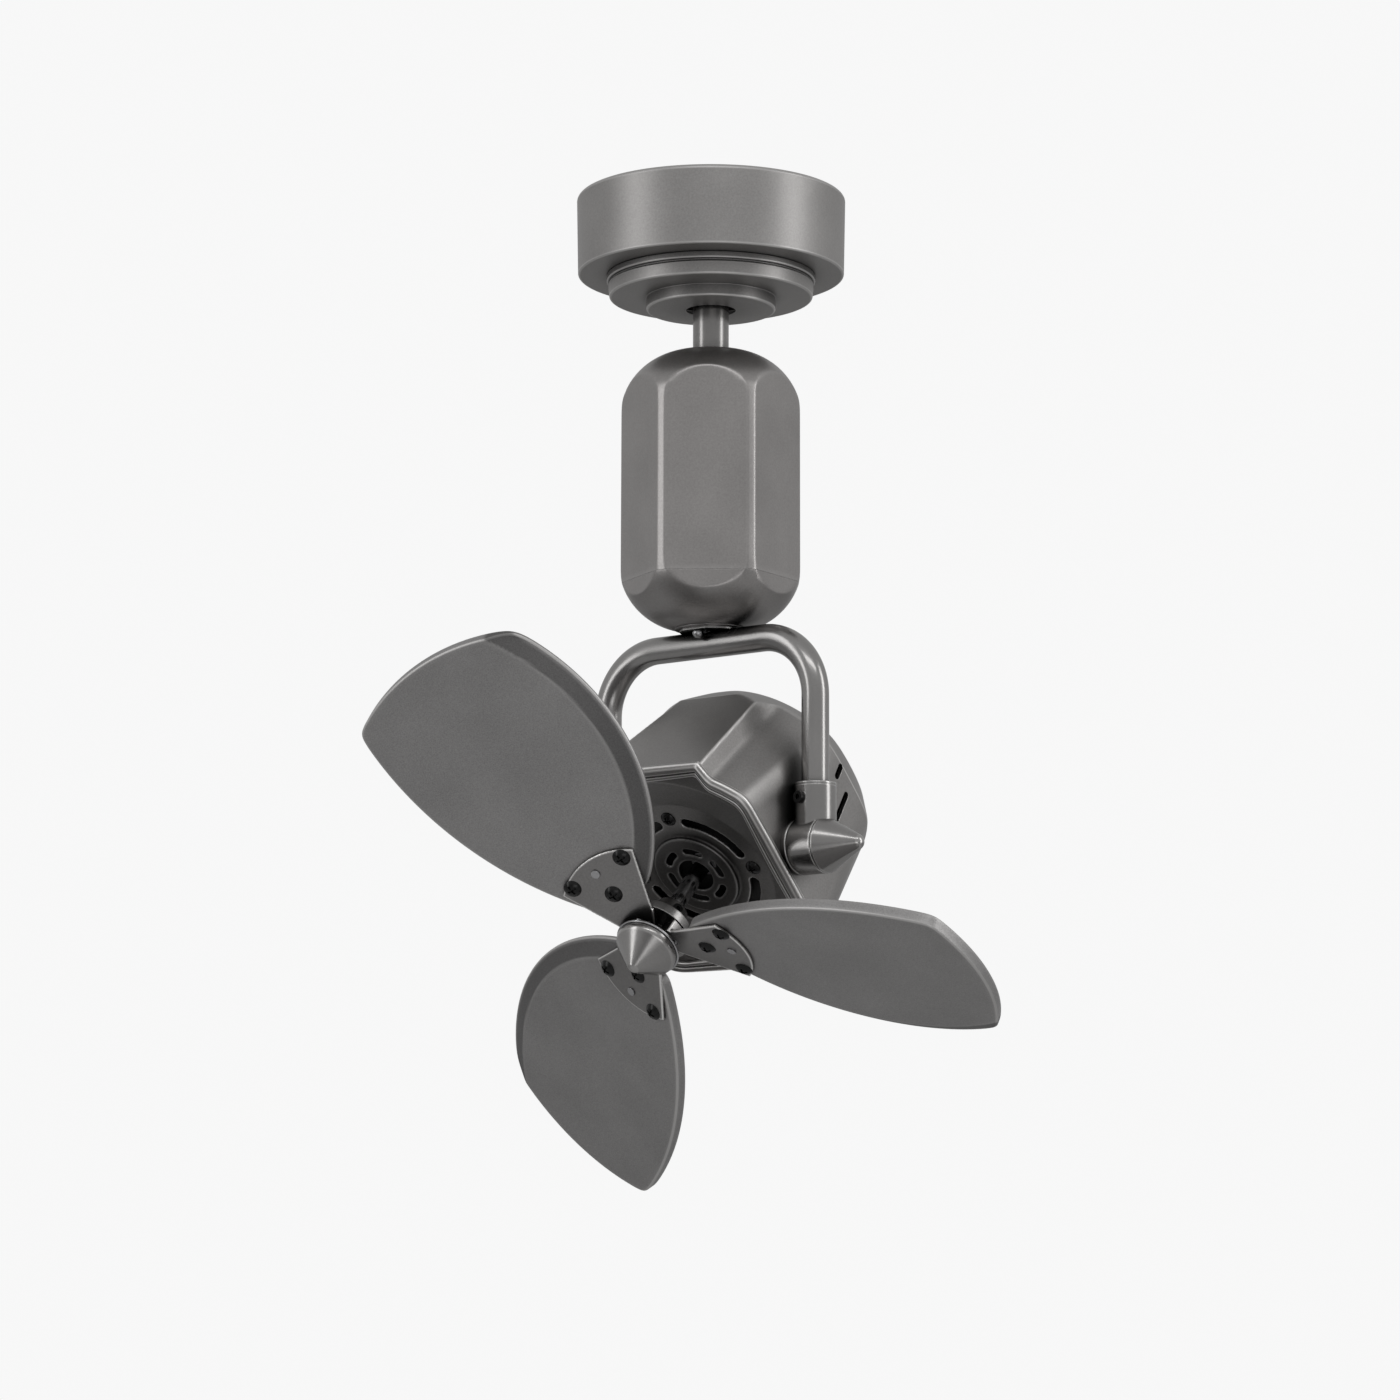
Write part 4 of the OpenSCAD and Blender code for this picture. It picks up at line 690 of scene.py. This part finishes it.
inner_rows = np.concatenate([[front_reach - wall], np.linspace(12, wall - rear_reach, 14)])
inner_rows = inner_rows[:, None] + 0 * around
inner = head_distance(0 * inner_rows + around, inner_rows) - wall
distance = np.concatenate([[rear_hole], distance, [opening + 0.5, opening + 0.1, opening, opening],
                           inner, [rear_hole]])
height = np.concatenate([[0 * around - rear_reach], height,
                         front_reach - np.array([[0.3], [0.6], [1.1], [wall]]) + 0 * around, inner_rows,
                         [0 * around + wall - rear_reach]])
shell = in_head(np.stack([distance * np.sin(around), distance * np.cos(around), height], -1))
casing = surface("head_shell", shell, "head", "gunmetal", "motor_casing", wrap_rows=True)


def slot_cutter(name, side, y, h, length, lean, width, depth):
    """A bar with round ends, its axis across the cheek: a stadium of the width and length in the
    cheek's plane, starting at (y, h) and leaning by the angle, carried along X through the wall."""
    turn = np.linspace(0, np.pi, 13)
    ends = np.concatenate([turn + np.pi / 2, turn - np.pi / 2])
    along = width / 2 * np.cos(ends) + np.repeat([0, length], turn.size)
    across = width / 2 * np.sin(ends)
    c, s = math.cos(lean), math.sin(lean)
    ring = np.stack([0 * along, y - along * s + across * c, h + along * c + across * s], -1)
    near = np.array([side * (cheek_offset - depth), 0, 0])
    far = np.array([side * (cheek_offset + depth), 0, 0])
    core = ring.mean(0, keepdims=True).repeat(len(ring), 0)
    grid = np.stack([core + near, ring + near, ring + far, core + far])
    mesh = bpy.data.meshes.new(name)
    points = in_head(grid) * 0.001
    count = len(ring)
    index = np.arange(4 * count).reshape(4, count)
    onward = np.roll(index, -1, 1)
    quads = np.stack([index[:-1], onward[:-1], onward[1:], index[1:]], -1)
    mesh.from_pydata(points.reshape(-1, 3).tolist(), [], quads.reshape(-1, 4).tolist())
    clean_up(mesh)
    cutter = bpy.data.objects.new(name, mesh)
    bpy.context.scene.collection.objects.link(cutter)
    return cutter


vent_lean, vent_width, vent_depth = math.radians(15), 4.4, 12.0
cutters = [slot_cutter("vent_cutter", side, y, h, length, vent_lean, vent_width, vent_depth)
           for side in (-1, 1) for h, y, length in ((-63.0, 8.4, 6.2), (-55.9, -7.0, 18.0))]
for cutter in cutters:
    cut = casing.modifiers.new("vent", "BOOLEAN")
    cut.operation = "DIFFERENCE"
    cut.solver = "EXACT"
    cut.object = cutter
vented = bpy.data.meshes.new_from_object(casing.evaluated_get(bpy.context.evaluated_depsgraph_get()))
casing.modifiers.clear()
plain = casing.data
casing.data = vented
casing.data.name = "head_shell"
bpy.data.meshes.remove(plain)
for cutter in cutters:
    bpy.data.objects.remove(cutter)

boss_radius, boss_bore, boss_in, boss_out = 16.0, 4.2, 54.0, 66.2
boss_outline = filleted([(boss_bore, boss_in, 0), (boss_radius, boss_in, 0.3),
                         (boss_radius, boss_out, 0.8), (boss_bore, boss_out, 0.3)])
for hand, sign in (("left", -1), ("right", 1)):
    boss = turned(boss_outline, 96)
    boss = np.stack([sign * boss[..., 2], boss[..., 0], boss[..., 1] + pivot_z], -1)
    surface(hand + "_pivot_boss", boss, "head", "gunmetal", wrap_rows=True)

# Front plate: a dished vented steel plate inside the rim, with four long arc slots, a raised ring
# round the shaft and four screws. Its punched slots have drawn edges, and its middle is painted darker as painted
# shade.
finish_of["gunmetal"] = coat("plate_coat", (0.17, 0.165, 0.161), (0.22, 0.214, 0.21), 0.36, grain=0.05,
                             scuff_and_highlight=0.4, crevice=0.02)
shade_radius, shade_fade = 36.0, 8.0
plate = softened("vented_plate", "front_plate", 0.62, 3, "head", "gunmetal")
# Painted shade: the middle is darkened within shade_radius of the shaft, fading out over shade_fade.
from_axis = np.linalg.norm(from_head(plate.data)[:, :2], axis=1)
write_share(plate.data, "painted_shade", np.clip((shade_radius - from_axis) / shade_fade, 0, 1))

# Blade irons: three thick fan-shaped steel stampings bolted to the hub, each with rounded edges. Their coat paints
# the edges very pale: worn coat and a painted highlight.
finish_of["gunmetal"] = coat("iron_coat", (0.25, 0.243, 0.24), (0.31, 0.302, 0.298), 0.3, grain=0.05,
                             scuff_and_highlight=0.9, scuffed_and_lit_grey=0.85)
for k in (1, 2, 3):
    softened("blade_carrier_%d" % k, "blade_iron_%d" % k, 0.36, 9, "rotor", "gunmetal")

# Blades: three wide pressed aluminium sheets with a turned edge. The face is flat, the leading side
# slopes down in a broad band, and the whole outline is rolled over by a small radius. The band is
# painted darker as painted shade, and the rolled outline paler as worn coat and a painted highlight.
finish_of["blade_metal"] = coat("blade_coat", (0.29, 0.283, 0.282), (0.43, 0.423, 0.42), 0.5,
                                scale=1400.0, grain=0.2, scuff_and_highlight=0.45)
spin_rest, blade_pitch, blade_height = 106.5, math.radians(18), 74.0
blade_sheet, blade_lip = 2.0, 7.0
lead_centre, lead_radius, lead_width, lead_rim = np.array([138, 63.6]), 137.4, 11.0, 5.0
blade_arcs = ((lead_centre, lead_radius), (np.array([157.4, -147.7]), 208.3), (np.array([81.0, -1.0]), 129.0))
blade_middle, root_cut = np.array([112.0, 0.0]), 27.0
corner_power = 46.0


def blade_outline(angle):
    """The outline round the blade's middle: along each ray the p-norm of the distances to the three
    arcs and to the straight root, which rounds the corners between them."""
    ray = np.stack([np.cos(angle), np.sin(angle)], -1)
    near = np.zeros_like(angle)
    for centre, radius in blade_arcs:
        gap = blade_middle - centre
        along = ray @ gap
        near = near + (np.sqrt(along ** 2 - gap @ gap + radius ** 2) - along) ** -corner_power
    to_root = (root_cut - blade_middle[0]) / np.minimum(ray[:, 0], -1e-3)
    near = near + np.where(ray[:, 0] < -1e-3, to_root, 1e3) ** -corner_power
    return blade_middle + near[:, None] ** (-1 / corner_power) * ray


def face_height(xy):
    """Height of the pressed face: flat, and on the leading side a slope that falls to the turned rim
    over the width of the band."""
    inside = lead_radius - np.linalg.norm(xy - lead_centre, axis=-1)
    return soft_min(0.0 * inside, lead_rim * (inside / lead_width - 1), 0.4)


blade_angle = np.linspace(0, 2 * np.pi, 480, endpoint=False)
edge = blade_outline(blade_angle)
side_way = np.roll(edge, -1, 0) - np.roll(edge, 1, 0)
outward = np.stack([side_way[:, 1], -side_way[:, 0]], -1)
outward /= np.linalg.norm(outward, axis=1, keepdims=True)
roll_radius, lip_round, lip_flat = 1.3, 0.5, (1.2, 1.6)
blade_rows = []
for part in np.concatenate([np.linspace(0, 0.7, 6), np.linspace(0.76, 0.985, 16)]):
    spot = blade_middle + part * (edge - (roll_radius + 0.4) * outward - blade_middle)
    blade_rows.append(np.concatenate([spot, face_height(spot)[:, None]], 1))
for turn in np.linspace(0, np.pi / 2, 7):
    spot = edge - roll_radius * (1 - math.sin(turn)) * outward
    fall = face_height(edge - roll_radius * outward) - roll_radius * (1 - math.cos(turn))
    blade_rows.append(np.concatenate([spot, fall[:, None]], 1))
rim_top = blade_rows[-1][:, 2:]
for part in (0.3, 0.7):
    blade_rows.append(np.concatenate([edge, rim_top + part * (lip_round - blade_lip - rim_top)], 1))
for turn in np.linspace(0, np.pi / 2, 4):
    spot = edge - lip_round * (1 - math.cos(turn)) * outward
    low = -blade_lip + lip_round * (1 - math.sin(turn))
    blade_rows.append(np.concatenate([spot, np.full((len(edge), 1), low)], 1))
for inset in lip_flat:
    spot = edge - inset * outward
    blade_rows.append(np.concatenate([spot, np.full((len(edge), 1), -blade_lip)], 1))
spot = edge - blade_sheet * outward
under = np.minimum(face_height(spot)[:, None] - blade_sheet, -blade_sheet)
for part in (0.05, 0.9):
    blade_rows.append(np.concatenate([spot, -blade_lip + part * np.maximum(under + blade_lip, 0.05)], 1))
for part in np.concatenate([np.linspace(0.985, 0.7, 14), np.linspace(0.6, 0, 5)]):
    spot = blade_middle + part * (edge - (blade_sheet + 0.6) * outward - blade_middle)
    below = np.maximum(face_height(spot) - blade_sheet, -blade_lip + 0.05)
    blade_rows.append(np.concatenate([spot, below[:, None]], 1))
blade_form = np.array(blade_rows)
pitched = np.array(Matrix.Rotation(blade_pitch, 3, "X"))
band_fade, roll_edge = 0.8, 1.2
for k in (0, 1, 2):
    round_shaft = np.array(Matrix.Rotation(math.radians(spin_rest - 120 * k), 3, "Z"))
    points = blade_form @ pitched.T + np.array([0, 0, blade_height])
    blade = surface("pressed_blade_%d" % (k + 1), in_head(points @ round_shaft.T), "rotor", "blade_metal",
                    "blade_%d" % (k + 1))
    # Painted shade: the sloping leading band is painted darker, fading in over band_fade from the rolled rim and
    # from the band's inner edge.
    spots = (from_head(blade.data) @ round_shaft - np.array([0, 0, blade_height])) @ pitched
    inside = lead_radius - np.linalg.norm(spots[:, :2] - lead_centre, axis=1)
    write_share(blade.data, "painted_shade", np.clip((lead_width - inside) / band_fade, 0, 1)
                * np.clip((inside - roll_edge) / band_fade, 0, 1))

finish_of["gunmetal"] = satin

# Spinner: a turned cone with a short straight base and a ball tip on the end of the shaft, in front
# of a bright washer.
spinner_base, spinner_length, spinner_radius = 83.0, 20.0, 18.5
spinner_outline = coned(spinner_radius, 3.4, spinner_length, 5.2, 5.0)
surface("spinner_cone", in_head(turned(spinner_outline) + np.array([0, 0, spinner_base])), "rotor",
        "gunmetal", "spinner")
washer_outline = filleted([(5.05, -1.5, 0.2), (19.5, -1.5, 0.5), (19.5, 0, 0.5), (5.05, 0, 0.2)])
surface("bright_washer", in_head(turned(washer_outline) + np.array([0, 0, spinner_base])), "rotor",
        "zinc_steel", "spinner_washer", wrap_rows=True)

# Small and inner pieces keep the shape of their solids: screws, rod, shaft, saddle, gears, motor parts
# and the bracket. Each takes the finish of its slot.
finish_of["black_steel"] = coat("black_oxide", (0.004, 0.004, 0.004), (0.008, 0.008, 0.008), 0.22,
                                grain=0.03, scuff_and_highlight=0.0, round_edge=0.0003, metallic=0.0)
finish_of["black_steel"].node_tree.nodes["Principled BSDF"].inputs["Specular IOR Level"].default_value = 0.3
finish_of["brass"] = coat("brass_gear", (0.55, 0.4, 0.16), (0.66, 0.5, 0.22), 0.3, scuff_and_highlight=0.1,
                          round_edge=0.0002)
finish_of["copper"] = coat("winding_copper", (0.5, 0.2, 0.08), (0.62, 0.28, 0.12), 0.3, scuff_and_highlight=0.1,
                           round_edge=0.0002)
finish_of["nylon"] = coat("nylon_moulding", (0.72, 0.71, 0.66), (0.76, 0.75, 0.7), 0.5, scuff_and_highlight=0.0,
                          round_edge=0.0004, metallic=0.0)
finish_of["fibre"] = coat("friction_fibre", (0.02, 0.02, 0.02), (0.035, 0.033, 0.03), 0.8, scuff_and_highlight=0.0,
                          round_edge=0.0002, metallic=0.0)
motor_enamel = coat("motor_enamel", (0.01, 0.01, 0.01), (0.016, 0.016, 0.016), 0.5, scuff_and_highlight=0.02, metallic=0.0)
polished = coat("polished_steel", (0.45, 0.45, 0.46), (0.52, 0.52, 0.53), 0.14, grain=0.02, scuff_and_highlight=0.05)
for part in frame["record"]["subparts"]:
    node = nodes[part["node"]]
    node.data.materials.clear()
    node.data.materials.append(finish_of[part["material_slot"]])
for name, finish in (("motor_pod", motor_enamel), ("stator_core", motor_enamel), ("motor_shaft", polished)):
    nodes[name].data.materials[0] = finish

low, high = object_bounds()
